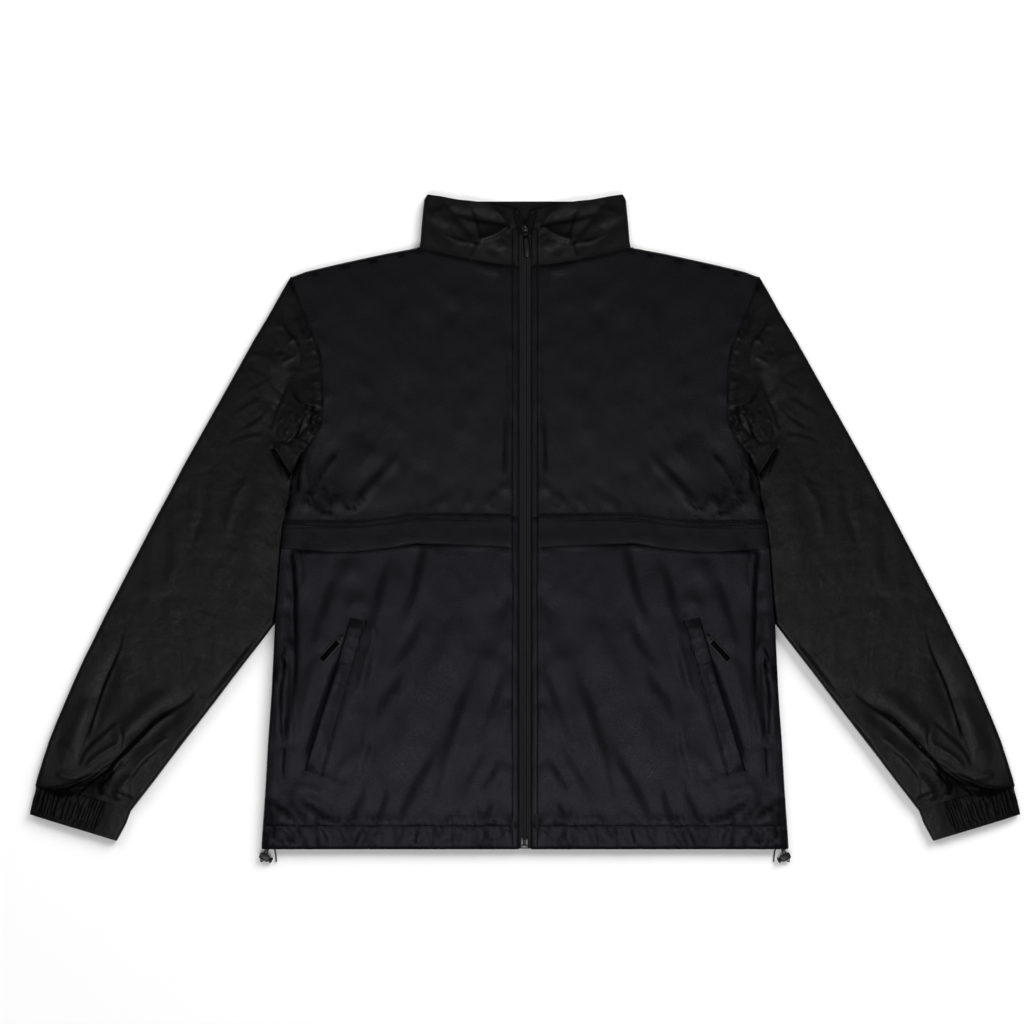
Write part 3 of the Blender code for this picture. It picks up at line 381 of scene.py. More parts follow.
sleeveCreases = [
    ("edge", -3.0, 5, [(253, 445), (244, 461), (233, 478)], (0.12, 0.05)),
    ("ridge", -2.2, 3.2, [(251, 449), (243, 462), (234, 477)], (0.12, 0.05)),
    ("fold", 1.3, 6, [(244, 305), (240, 327), (226, 346), (226, 368)], (0.3, 0.2)),
    ("ridge", 1.2, 4, [(238, 343), (231, 340), (225, 341)]),
    ("ridge", 1.3, 4, [(244, 365), (236, 360), (228, 357)]),
    ("fold", -1.4, 7, [(235, 380), (241, 398), (248, 412), (253, 432)], (0.3, 0.1)),
    ("fold", -1.2, 5, [(230, 384), (226, 398), (222, 404), (203, 408)], (0.3, 0.05)),
    ("fold", 1.6, 6, [(217, 409), (224, 424), (228, 436), (238, 444)], (0.1, 0.1)),
    ("ridge", 1.8, 4, [(205, 414), (212, 420), (208, 430), (216, 434)], (0.1, 0.2)),
    ("ridge", -1.5, 5, [(213, 414), (219, 428), (231, 440)], (0.2, 0.2)),
    ("fold", 0.8, 7, [(287, 432), (268, 421), (254, 408)], (0.4, 0.1)),
    ("fold", 0.7, 7, [(300, 446), (280, 437), (260, 434)], (0.4, 0.1)),
    ("fold", 0.6, 8, [(296, 418), (276, 404), (262, 396)], (0.4, 0.2)),
    ("fold", 0.6, 8, [(280, 392), (264, 384), (252, 380)], (0.4, 0.3)),
    ("ridge", 0.9, 9, [(272, 470), (290, 500), (300, 540)]),
    ("ridge", -0.9, 10, [(318, 470), (322, 510), (334, 552)]),
    ("ridge", 0.8, 12, [(352, 520), (350, 560), (362, 600)]),
    ("fold", 0.6, 5, [(407, 576), (414, 584), (424, 590)]),
    ("fold", 0.7, 6, [(399, 596), (414, 598), (430, 606)]),
    ("fold", 0.6, 5, [(412, 602), (424, 612), (432, 618)]),
    ("fold", 0.2, 5, [(372, 638), (388, 640), (410, 646)]),
    ("fold", 0.25, 5, [(380, 650), (392, 652), (412, 660)]),
    ("fold", 0.3, 5, [(378, 672), (392, 676), (404, 684)]),
    ("pinch", 0.5, 2.5, [(346, 638), (344, 655), (343, 676)]),
    ("fold", -1.5, 8, [(397, 620), (405, 649), (418, 679), (428, 704), (434, 728), (435, 742)], (0.4, 0.1)),
    ("ridge", -1.7, 1.9, [(399, 628), (406, 652), (420, 684), (433, 724), (436, 740)], (0.4, 0.15)),
    ("fold", -1.6, 7, [(405, 720), (423, 736), (438, 751), (446, 768)], (0.15, 0.2)),
    ("fold", -2.4, 9, [
        (322, 684), (338, 702), (366, 720), (383, 736), (398, 751), (410, 764), (418, 790),
    ], (0.35, 0.1)),
    ("ridge", -2.8, 2.2, [(336, 700), (366, 719), (383, 735), (398, 750), (412, 762)], (0.4, 0.1)),
    ("edge", 2.6, 5, [
        (489.5, 785.5), (478, 787.5), (462, 785.5), (447, 780), (432, 774), (420, 768),
    ], (0.03, 0.3)),
    ("ridge", -3.4, 6, [(476, 792), (458, 791), (440, 786), (426, 780), (418, 770)], (0.15, 0.2)),
    ("ridge", -2.6, 6, [(422, 796), (424, 786), (420, 774), (410, 762)], (0.15, 0.3)),
    ("pinch", 2.4, 2.6, [(396, 750), (414, 764), (436, 778), (454, 788), (466, 795)], (0.1, 0.15)),
    ("pinch", 2.0, 2.4, [(404, 760), (424, 776), (440, 788), (452, 799)], (0.1, 0.1)),
    ("pinch", 1.8, 2.6, [(400, 758), (414, 774), (428, 792)], (0.1, 0.1)),
    ("pinch", 1.4, 2.2, [(430, 792), (420, 794), (414, 800)], (0.1, 0.1)),
    ("fold", -0.6, 4, [(412, 789), (400, 793), (388, 799)], (0.2, 0.3)),
    ("fold", -0.6, 4, [(408, 803), (398, 807), (390, 812)], (0.2, 0.3)),
    ("ridge", 1.8, 5, [(404, 742), (424, 754), (440, 768)], (0.2, 0.2)),
    ("pinch", 1.4, 4, [(405, 722), (402, 738), (407, 756)], (0.2, 0.1)),
    ("pinch", 1.1, 3, [(412, 740), (408, 756)], (0.3, 0.1)),
    ("ridge", 2.0, 9, [(392, 772), (402, 786), (408, 800)], (0.3, 0.1)),
    ("pinch", 1.0, 2.6, [(366, 749), (381, 761), (393, 778), (396, 797)], (0.1, 0.2)),
    ("ridge", -1.2, 9, [(474, 738), (456, 749), (448, 759)]),
    ("ridge", 1.4, 7, [(262, 640), (284, 668), (306, 696)]),
    ("fold", -0.9, 6, [(270, 640), (292, 668), (316, 700)], (0.2, 0.3)),
    ("fold", 1.0, 6, [(318, 716), (340, 734), (352, 752)], (0.2, 0.3)),
    ("ridge", 1.2, 4, [(371, 748), (364, 742), (356, 737)]),
    ("pinch", 0.9, 3, [(262, 636), (256, 634), (252, 630)]),
    ("ridge", 1.2, 6, [(470, 772), (452, 778), (436, 782)], (0.2, 0.2)),
    ("pinch", 1.0, 3, [(458, 786), (450, 780), (440, 778)]),
]
collarCreases = [
    ("fold", -0.9, 9, [(99, 214), (89, 225), (79, 236), (64, 244), (49, 243)], (0.1, 0.05)),
    ("fold", 0.9, 8, [(81, 203), (69, 220), (59, 233), (49, 243)], (0.1, 0.05)),
    ("fold", 0.8, 7, [(57, 204), (50, 218), (45.5, 233), (43, 241)], (0.1, 0.1)),
    ("fold", -1.2, 5, [(46, 242), (31, 238), (15, 228)], (0.05, 0.02)),
    ("ridge", 1.5, 3, [(45, 240), (31, 235.5), (16, 227)], (0.05, 0.02)),
    ("ridge", 1.2, 4, [(34, 206), (25, 216), (16, 226)], (0.3, 0.02)),
    ("fold", 0.8, 6, [(74, 214), (48, 222), (31, 224), (15, 227)], (0.3, 0.02)),
    ("pinch", 0.9, 3, [(49, 243), (54, 257)], (0.05, 0.3)),
    ("pinch", 1.2, 3, [(53, 241), (44, 244)], (0.2, 0.2)),
    ("ridge", 0.7, 6, [(26, 240), (24, 252)]),
    ("fold", 0.5, 6, [(38, 246), (36, 258)]),
    ("ridge", 0.8, 8, [(92, 206), (88, 215), (74, 229)]),
]

gridLow, gridHigh = (-0.012, -0.388), (0.578, 0.388)  # corners of the plan of one half
relief = Relief(gridLow, gridHigh, 0.00065)
depths = {"folds": 0.55, "chest": 1.2, "lower": 0.95, "hem": 2.6, "flap": 0.9, "sleeve": 0.65, "collar": 0.8}
widths = {"chest": 0.9, "lower": 0.95, "hem": 0.8, "flap": 0.7, "sleeve": 0.6, "collar": 0.8}
for kind, height, *rest in bodyFolds + sleeveFolds + collarFolds:
    relief.crease(kind, height * depths["folds"], *rest)
for part, table in (
    ("chest", chestCreases), ("lower", lowerCreases), ("hem", hemCreases), ("flap", flapCreases),
    ("sleeve", sleeveCreases), ("collar", collarCreases),
):
    for kind, height, half, *rest in table:
        relief.crease(kind, height * depths[part], half * widths[part], *rest)
print("creases pressed")


uneven = {  # least and most that chance multiplies a given size by
    "puckerPitch": (0.55, 1.5),
    "puckerLength": (0.45, 1.4),
    "puckerHeight": (0.4, 1.25),
    "puckerHalf": (0.75, 1.3),
    "wrinkleLength": (0.5, 1.6),
    "wrinkleHeight": (0.3, 1.2),
    "wrinkleHalf": (0.7, 1.4),
}


def puckers(course, pitch, height, length, half, seed, sides=(1, -1), start=1.2, lean=0.0):
    # short creases that leave a seam; sizes in millimetres, start is how far beside the seam they begin
    chance = np.random.default_rng(seed)
    line = rounded(draft(course))
    total = np.hypot(*np.diff(line, axis=0).T).sum()
    for side in sides:
        at = 0.0
        while at < total:
            at += pitch / 1000 * chance.uniform(*uneven["puckerPitch"])
            share = min(at / total, 1)
            step = 0.004 if share < 0.99 else -0.004  # at its end the seam's heading is read backwards
            here, ahead = along(line, (share, share + step))
            heading = math.atan2(*(ahead - here)[::-1]) + (0 if step > 0 else math.pi)
            turn = heading + side * math.pi / 2 + chance.normal(0, 0.32) + lean
            way = np.array((math.cos(turn), math.sin(turn)))
            first = here + way * start / 1000
            last = first + way * length / 1000 * chance.uniform(*uneven["puckerLength"])
            middle = (first + last) / 2 + np.array((-way[1], way[0])) * chance.normal(0, 0.06) * length / 1000
            kind = ("ridge", "pinch")[int(chance.integers(2))]
            tall = height / 1000 * chance.uniform(*uneven["puckerHeight"])
            wide = half / 1000 * chance.uniform(*uneven["puckerHalf"])
            relief.press(kind, tall, wide, rounded(np.array([first, middle, last]), 4), (0.05, 0.8))


def wrinkles(area, count, length, heading, spread, height, half, seed):
    # short creases inside a four-sided area; sizes in millimetres, the heading in degrees
    chance = np.random.default_rng(seed)
    corners = draft(area)
    for _ in range(count):
        u, v = chance.uniform(size=2)
        top = (1 - u) * corners[0] + u * corners[1]
        bottom = (1 - u) * corners[3] + u * corners[2]
        middle = (1 - v) * top + v * bottom
        turn = math.radians(heading) + chance.normal(0, spread)
        way = np.array((math.cos(turn), math.sin(turn))) * length / 2000
        way = way * chance.uniform(*uneven["wrinkleLength"])
        bow = np.array((-way[1], way[0])) * np.clip(chance.normal(0, 0.3), -0.35, 0.35)
        kind = ("ridge", "pinch", "fold")[int(chance.integers(3))]
        tall = height / 1000 * chance.uniform(*uneven["wrinkleHeight"]) * (1, -1)[int(chance.integers(2))]
        wide = half / 1000 * chance.uniform(*uneven["wrinkleHalf"])
        fold = rounded(np.array([middle - way, middle + bow, middle + way]), 4)
        relief.press(kind, tall, wide, fold, (0.45, 0.45))


placket = [(drafting["zipStitch"], 268), (drafting["zipStitch"], 846)]
hemLine = [(8, drafting["hemStitch"]), (260, drafting["hemStitch"])]
flapEdgeMark = [(14, 520.5), (92, 520), (114, 521), (141, 524.5), (174, 527.5), (236, 527.5)]
# Puckered seams: course, pitch, height, length, half width and seed.
puckers(placket, 4.2, 0.34, 5, 1.3, 11, sides=(1,), start=0.6)
puckers(placket, 4.0, 0.26, 3.2, 1.2, 12, sides=(-1,), start=0.4)
puckers(hemLine, 3.6, 1.0, 7, 1.3, 13, start=0.5)
puckers([(20, 847), (258, 847)], 6.0, 0.9, 13, 1.9, 19, sides=(1,), start=0.5)
puckers([(10, 824), (258, 824)], 8.0, 1.1, 18, 2.1, 20, sides=(1,), start=1.5)
puckers([(10, 826), (258, 826)], 9.0, 1.0, 18, 2.2, 29, sides=(-1,), start=1.5, lean=-0.5)
puckers(outline["yokeSeam"][:-1] + [(238, 523.5)], 6.0, 0.6, 9, 1.9, 14, sides=(1,), start=2.5)
puckers(flapEdgeMark, 7.0, 0.22, 7, 1.8, 15, sides=(-1,), start=0.8)
puckers(outline["armhole"][1:], 9.0, 0.6, 11, 2.4, 16, start=1.4)
puckers([(160, 749), (381, 761)], 7.0, 0.3, 5, 1.6, 17)
puckers(outline["neckFront"], 12.0, 0.35, 8, 2.2, 18, sides=(-1,), start=1.6)
# Wrinkled areas: corners, count, length, heading and its spread in radians, height, half width and seed.
wrinkled = [
    ([(262, 440), (330, 470), (400, 640), (262, 620)], 34, 34, 22, 0.5, 0.17, 3.6, 21),
    ([(300, 560), (420, 600), (470, 740), (330, 690)], 26, 30, 28, 0.45, 0.18, 3.6, 22),
    ([(20, 560), (150, 560), (150, 800), (20, 810)], 56, 36, 65, 0.4, 0.28, 3.8, 23),
    ([(20, 290), (200, 300), (200, 430), (20, 470)], 24, 40, 75, 0.7, 0.16, 6, 24),
    ([(228, 560), (246, 560), (256, 800), (228, 800)], 26, 16, 20, 0.5, 0.6, 2.6, 25),
    ([(236, 300), (270, 350), (290, 420), (222, 420)], 16, 22, 40, 0.6, 0.5, 3.4, 26),
    ([(160, 740), (250, 760), (258, 815), (150, 820)], 16, 22, -15, 0.6, 0.45, 3.2, 27),
    ([(12, 826), (258, 826), (261, 847), (12, 847)], 46, 20, 66, 0.45, 1.2, 2.6, 30),
    ([(12, 806), (258, 806), (260, 824), (12, 824)], 40, 16, 72, 0.5, 0.6, 1.8, 35),
    ([(212, 800), (259, 800), (262, 846), (222, 846)], 36, 14, 40, 0.6, 1.2, 1.5, 36),
    ([(180, 488), (236, 488), (238, 514), (180, 514)], 30, 12, 20, 0.9, 0.7, 1.5, 37),
    ([(204, 408), (248, 408), (250, 452), (216, 452)], 30, 12, 30, 0.9, 0.9, 1.6, 38),
    ([(20, 290), (200, 300), (236, 510), (20, 510)], 90, 12, 70, 1.2, 0.12, 1.6, 39),
    ([(20, 560), (226, 560), (226, 800), (20, 800)], 120, 14, 60, 1.0, 0.16, 1.7, 42),
    ([(240, 290), (300, 400), (430, 640), (250, 620)], 80, 13, 30, 1.0, 0.12, 1.7, 43),
    ([(14, 206), (96, 200), (102, 246), (14, 262)], 30, 12, 20, 1.0, 0.25, 1.5, 44),
]
for area, *rest in wrinkled:
    wrinkles(area, *rest)

gathers = {
    "share": 0.74,  # how much of the cuff its elastic draws in
    "seed": 51,
    "sets": ((16, 0.6, 1.2), (52, 0.5, 0.7)),  # count, depth and half width in millimetres
    "starts": 0.02,
    "stagger": 0.4,  # unevenness of the ribs' places, in steps
    "slant": 0.015,
    "bow": 0.0012,
}
chance = np.random.default_rng(gathers["seed"])
cuffEnd = draft([outline["cuffOuter"][-1], outline["cuffInner"][-1]])
for count, deep, half in gathers["sets"]:
    for k in range(count):
        place = k + chance.uniform(-gathers["stagger"], gathers["stagger"])
        share = gathers["share"] * place / count + gathers["starts"]
        top = along(lines["cuffTop"], [share])[0]
        bottom = along(cuffEnd, [share + chance.normal(0, gathers["slant"])])[0]
        first, last = chance.uniform(-0.15, 0.2), chance.uniform(0.75, 1.0)
        middle = (top + bottom) / 2 + (chance.normal(0, gathers["bow"]), 0)
        rib = np.array([top + (bottom - top) * first, middle, top + (bottom - top) * last])
        tall = -deep / 1000 * chance.uniform(0.5, 1.5)
        wide = half / 1000 * chance.uniform(0.7, 1.4)
        relief.press("ridge", tall, wide, rounded(rib, 4), (0.3, 0.1))
wrinkles([(488, 788), (430, 800), (428, 812), (489, 802)], 22, 9, 55, 0.5, 0.7, 1.6, 52)

# Broad unevenness: height in millimetres, wave in metres, stretch, heading in degrees and seed.
for height, wave, stretch, heading, seed in (
    (0.11, 0.030, 1.8, 60, 31), (0.050, 0.010, 2.0, 55, 32), (0.024, 0.0045, 1.5, 40, 33),
):
    relief.drift(height, wave, stretch, math.radians(heading), seed)

# Seams sit a little lower than the cloth beside them: course, depth and half width in millimetres.
seamDips = [
    (outline["armhole"], 0.22, 0.9),
    (outline["neckFront"], 0.32, 1.1),
    (placket, 0.6, 1.1),
    (hemLine, 0.5, 1.1),
    ([(12.4, 265), (12.4, 229)], 0.5, 1.1),
]
for course, deep, half in seamDips:
    relief.crease("ridge", -deep, half, course, (0, 0))
relief.height = relief.blurred(0.0004)

# Lines where the cloth goes nearly black, painted shade along deep creases and folds and under edges that lie
# over other cloth, two of them along the neck seam: strength, half width in millimetres, course, and the fades.
darkLines = [
    (1.0, 1.8, [(252.5, 449), (244, 461), (234, 476)], (0.05, 0.05)),
    (0.7, 1.5, [(252, 450), (246, 466), (241, 480)], (0.1, 0.3)),
    (0.8, 1.8, [(234, 476), (229, 466), (224, 457)], (0.1, 0.2)),
    (0.9, 1.9, [(224.4, 459), (224.6, 476), (226, 494)], (0.2, 0.05)),
    (0.7, 3.4, [(223, 491), (214, 492), (208, 495)], (0.1, 0.3)),
    (0.8, 1.9, [(216, 498), (216, 502), (208, 509), (198, 514), (185, 515)], (0.1, 0.2)),
    (0.75, 1.8, [(190, 497), (183, 502), (175, 510), (166, 505), (156, 493)], (0.3, 0.4)),
    (0.6, 1.6, [(229, 495), (234, 507), (241, 511)], (0.2, 0.1)),
    (0.7, 1.7, [(187.5, 452), (193, 459), (199, 466)], (0.3, 0.3)),
    (0.6, 1.4, [(21, 395), (20, 430), (20, 458), (20, 486)], (0.4, 0.2)),
    (1.0, 1.5, [
        (14, 548.2), (92, 544.6), (112, 545), (135, 548.6), (164, 551.6), (190, 552.6), (241, 548.8),
    ], (0.02, 0.05)),
    (0.6, 1.4, [(397, 622), (406, 652), (420, 684), (433, 724), (448, 764)], (0.5, 0.1)),
    (0.8, 1.6, [(326, 692), (366, 719), (383, 735), (398, 750), (412, 764), (420, 776)], (0.45, 0.1)),
    (0.9, 1.9, [(486, 787), (476, 790), (460, 788), (445, 783), (431, 776), (418, 766)], (0.05, 0.2)),
    (0.6, 3.0, [(424, 797), (424, 786), (418, 774)], (0.2, 0.3)),
    (0.55, 4.0, [(482, 793), (464, 794), (446, 792), (430, 792)], (0.2, 0.2)),
    (0.75, 6.0, [(491, 790), (494, 802), (497, 815)], (0.05, 0.02)),
    (0.45, 5.0, [(408, 790), (412, 776), (420, 766)], (0.3, 0.3)),
    (0.7, 1.5, [(402, 757), (424, 776), (440, 788), (452, 799)], (0.2, 0.2)),
    (0.6, 1.4, [(392, 758), (414, 776), (428, 792)], (0.2, 0.2)),
    (0.5, 1.3, [(412, 790), (400, 794), (388, 800)], (0.2, 0.3)),
    (0.8, 2.2, [(237, 280), (233, 287), (230, 296)], (0.05, 0.4)),
    (0.45, 5.0, [(231, 302), (220, 332), (214, 354)], (0.3, 0.4)),
    (0.5, 4.0, [(212, 374), (211, 402), (215, 430)], (0.4, 0.3)),
    (0.7, 1.6, [(235, 380), (230, 396), (222, 404), (206, 409)], (0.3, 0.1)),
    (0.8, 1.8, [(217, 410), (224, 424), (230, 438), (240, 446)], (0.2, 0.1)),
    (0.4, 1.3, [(6.1, 266.5), (25, 265), (45, 262), (75, 256), (104, 248.5)], (0.02, 0.05)),
    (0.42, 2.0, [(8, 264.8), (25, 263.4), (45, 260.4), (75, 254.4), (103, 246.6)], (0.02, 0.05)),
    (0.22, 15.0, [(220, 436), (212, 468), (196, 500), (172, 512)], (0.2, 0.3)),
    (0.7, 6.0, [(433, 799), (431, 792), (428, 785), (423, 778)], (0.05, 0.3)),
    (0.35, 7.0, [(413, 803), (419, 818), (424, 834)], (0.02, 0.02)),
    (0.8, 1.7, [(44, 243), (54, 243), (79, 235), (99, 216)], (0.1, 0.6)),
    (0.6, 1.5, [(45, 242), (46, 230), (55, 206)], (0.1, 0.5)),
    (0.6, 1.5, [(15, 228.5), (31, 225), (60, 219)], (0.05, 0.5)),
    (0.8, 1.4, [(259, 799), (250, 806), (240, 811), (229, 823)], (0.05, 0.2)),
    (0.3, 3.0, [(232, 794), (216, 806), (200, 816), (184, 823)], (0.4, 0.3)),
    (0.9, 1.8, [(231.5, 550), (229, 581), (228.5, 620), (228, 660), (230, 700), (233, 730)], (0.05, 0.4)),
    (0.8, 1.6, [(243, 643), (239, 650), (243, 657), (239, 664), (243, 672)], (0.1, 0.1)),
    (0.7, 1.5, [(240, 746), (241, 768), (239.4, 786)], (0.1, 0.4)),
]
# Painted shade in the relief's valleys: the further the cloth lies below its blurred surroundings, the darker
# it is painted.
valley = {"wide": 0.0022, "full": 0.46, "most": 0.48}  # metres, millimetres of depth, share at full depth
paintedShade = Relief(gridLow, gridHigh, relief.cell)
for strength, half, course, fades in darkLines:
    paintedShade.crease("ridge", strength * 1000, half, course, fades)
depth = (relief.blurred(valley["wide"]) - relief.height) * 1000 / valley["full"]
paintedShade.height = np.clip(np.maximum(paintedShade.height, 0) + valley["most"] * eased(depth), 0, 1)
print("relief from", round(relief.height.min() * 1000, 1), "to", round(relief.height.max() * 1000, 1), "mm")


def swell(points):  # height of the upper cloth away from the outline; the body thins towards the hem
    inner = points[:, 0] < shell["cuffStarts"] * drafting["unit"]
    past = np.where(inner, 1, nearest(points, cuffSeam)[0])
    tall = shell["cuffHeight"] + (shell["bodyHeight"] - shell["cuffHeight"]) * eased(past / shell["cuffBlend"])
    body = points[:, 0] < shell["bodyReach"]
    thinner = eased((dropOf(points) - shell["hemThinsFrom"]) / shell["hemThinsOver"])
    return tall + relief.at(points) - shell["hemThins"] * body * thinner


touching = {"out": 238, "half": 24, "starts": 440, "easesIn": 20, "ends": 560, "easesOut": 68}  # drafting units


def sideLevel(points):  # height of the folded outline: higher where sleeve and body lie against each other
    drop = dropOf(points)
    beside = np.abs(points[:, 0] / drafting["unit"] - touching["out"]) < touching["half"]
    begun = eased((drop - touching["starts"]) / touching["easesIn"])
    over = eased((drop - touching["ends"]) / touching["easesOut"])
    return shell["sideHeight"] + shell["contact"] * (beside * begun * (1 - over))


# Soft hollows where the cloth below lifts off the floor: height and half width in millimetres, course, fades.
hollows = [
    (1.3, 8, [(30, 300), (58, 352), (70, 420)], (0.3, 0.4)),
    (1.1, 7, [(200, 330), (170, 372), (150, 430), (146, 470)], (0.2, 0.4)),
    (1.5, 10, [(196, 476), (150, 500), (96, 504), (40, 492)], (0.3, 0.3)),
    (1.2, 8, [(226, 560), (190, 600), (168, 660), (160, 720)], (0.2, 0.4)),
    (1.4, 9, [(20, 560), (44, 620), (48, 690)], (0.4, 0.3)),
    (1.0, 7, [(110, 610), (96, 668), (100, 740), (112, 790)], (0.3, 0.3)),
    (1.2, 8, [(246, 760), (214, 780), (170, 786)], (0.2, 0.4)),
    (0.9, 7, [(72, 770), (66, 800), (72, 830)], (0.3, 0.2)),
    (1.3, 9, [(262, 380), (286, 420), (300, 474)], (0.3, 0.4)),
    (1.1, 9, [(330, 500), (318, 552), (334, 606)], (0.3, 0.3)),
    (1.4, 9, [(400, 640), (384, 690), (392, 740)], (0.4, 0.2)),
    (1.2, 8, [(440, 700), (446, 740), (436, 772)], (0.4, 0.2)),
    (1.0, 8, [(344, 700), (372, 736), (400, 770)], (0.3, 0.3)),
]
hollowMost = 0.0018
below = Relief(gridLow, gridHigh, 0.002)
for tall, half, course, fades in hollows:
    below.crease("ridge", tall, half, course, fades)


def underneath(points):  # height of the lower cloth
    return np.clip(below.at(points), 0, hollowMost)


def inset(points, ownLine):  # how far inside its own panel's outline a point lies
    own = nearest(points, ownLine)[0]
    for end in (ownLine[0], ownLine[-1]):  # past the ends of the line there is only the panel's side
        past = (np.abs(own) > 0.0004) & (np.hypot(*(points - end).T) < np.abs(own) + 1e-9)
        own = np.where(past, np.abs(own), own)
    found = np.stack([nearest(points, outerLine)[0], own])
    value = found[np.abs(found).argmin(0), np.arange(len(points))]
    return np.where(value < 0.00012, 0, value)


def lift(plan, ownLine, heightOf=swell):  # a plan grid as points on the cloth, rolled over at the outline
    flat = plan.reshape(-1, 2)
    turn = 1 - np.clip(inset(flat, ownLine) / shell["roll"], 0, 1)
    tall, side = heightOf(flat), sideLevel(flat)
    z = side + (tall - side) * (1 - turn**4) ** 0.25
    return np.column_stack([flat, z]).reshape(*plan.shape[:-1], 3)


def spaced(size, step, near=(0,), far=(0,)):  # grid shares: set distances from each end, then even steps
    first, last = [x / size for x in near], [1 - x / size for x in reversed(far)]
    count = max(int((last[0] - first[-1]) * size / step), 1)
    return np.concatenate([first, np.linspace(first[-1], last[0], count + 1)[1:-1], last])


def patch(top, bottom, left, right, across, down):  # plan of a four-sided panel from its edges
    u, v = across[None, :, None], down[:, None, None]
    top, bottom = along(top, across), along(bottom, across)
    left, right = along(left, down), along(right, down)
    ruled = (1 - v) * top + v * bottom + (1 - u) * left[:, None] + u * right[:, None]
    corners = (1 - u) * (1 - v) * top[0] + u * (1 - v) * top[-1]
    return ruled - corners - (1 - u) * v * bottom[0] - u * v * bottom[-1]


def tucked(grid, reach=0.0022, drop=0.0011):  # one more row past the top seam, under the piece above
    way = grid[0] - grid[1]
    way[:, 2] = 0
    way *= reach / np.maximum(np.linalg.norm(way, axis=1), 1e-6)[:, None]
    row = grid[0] + way - (0, 0, drop)
    row[:, 2] = np.maximum(row[:, 2], 0.0)
    return np.concatenate([row[None], grid])


def facing(grid, ring=False):  # unit directions out of a grid of points
    if ring:
        grid = np.concatenate([grid[:, -2:], grid, grid[:, :2]], 1)
    out = np.cross(np.gradient(grid, axis=1), np.gradient(grid, axis=0))
    out /= np.maximum(np.linalg.norm(out, axis=-1, keepdims=True), 1e-12)
    return out[:, 2:-2] if ring else out


def seamFields(points, courses):  # distance from the nearest row of stitches, and the length along it
    if not courses:
        return np.full(len(points), 0.05), np.zeros(len(points))
    found = [nearest(points, course) for course in courses]
    gaps, runs = (np.stack([f[k] for f in found]) for k in (0, 1))
    pick, rows = np.abs(gaps).argmin(0), np.arange(len(points))
    return gaps[pick, rows], runs[pick, rows]


def linked(name, data):  # a new object at the origin of the scene
    obj = bpy.data.objects.new(name, data)
    bpy.context.scene.collection.objects.link(obj)
    return obj


def shadeSmooth(mesh, sharp):  # sharp: degrees past which an edge stays hard
    mesh.polygons.foreach_set("use_smooth", [True] * len(mesh.polygons))
    mesh.set_sharp_from_angle(angle=math.radians(sharp))


def clearance(outer, out, ring):  # how far the cloth dips below each point within a stride of it
    rows, columns = outer.shape[:2]
    steps = range(-shell["liningStride"] + 1, shell["liningStride"])
    sunk = np.zeros((rows, columns))
    for down in steps:
        for over in steps:
            r = np.clip(np.arange(rows) + down, 0, rows - 1)
            c = np.arange(columns) + over
            c = c % columns if ring else np.clip(c, 0, columns - 1)
            sunk = np.maximum(sunk, ((outer - outer[np.ix_(r, c)]) * out).sum(-1))
    return np.minimum(sunk, shell["sinkMost"])


def shellFaces(shape, keptRows, keptColumns, ring):  # faces of both skins and of the rims between them
    place = np.arange(shape[0] * shape[1]).reshape(shape)
    under = np.arange(len(keptRows) * len(keptColumns)).reshape(len(keptRows), -1) + place.size
    if ring:
        keptColumns = np.append(keptColumns, shape[1])
        place, under = (np.concatenate([p, p[:, :1]], 1) for p in (place, under))
    faces = []
    for net, flip in ((place, False), (under, True)):
        a, b, d, e = net[:-1, :-1], net[:-1, 1:], net[1:, :-1], net[1:, 1:]
        faces += np.stack([a, d, e, b] if flip else [a, b, e, d], -1).reshape(-1, 4).tolist()
    edges = [(place[0], under[0], keptColumns, True), (place[-1], under[-1], keptColumns, False)]
    if not ring:
        edges += [(place[:, 0], under[:, 0], keptRows, False), (place[:, -1], under[:, -1], keptRows, True)]
    for skin, lining, kept, flip in edges:
        for k, (first, last) in enumerate(zip(kept[:-1], kept[1:])):
            rim = skin[first:last + 1].tolist() + [int(lining[k + 1]), int(lining[k])]
            faces.append(rim[::-1] if flip else rim)
    return faces


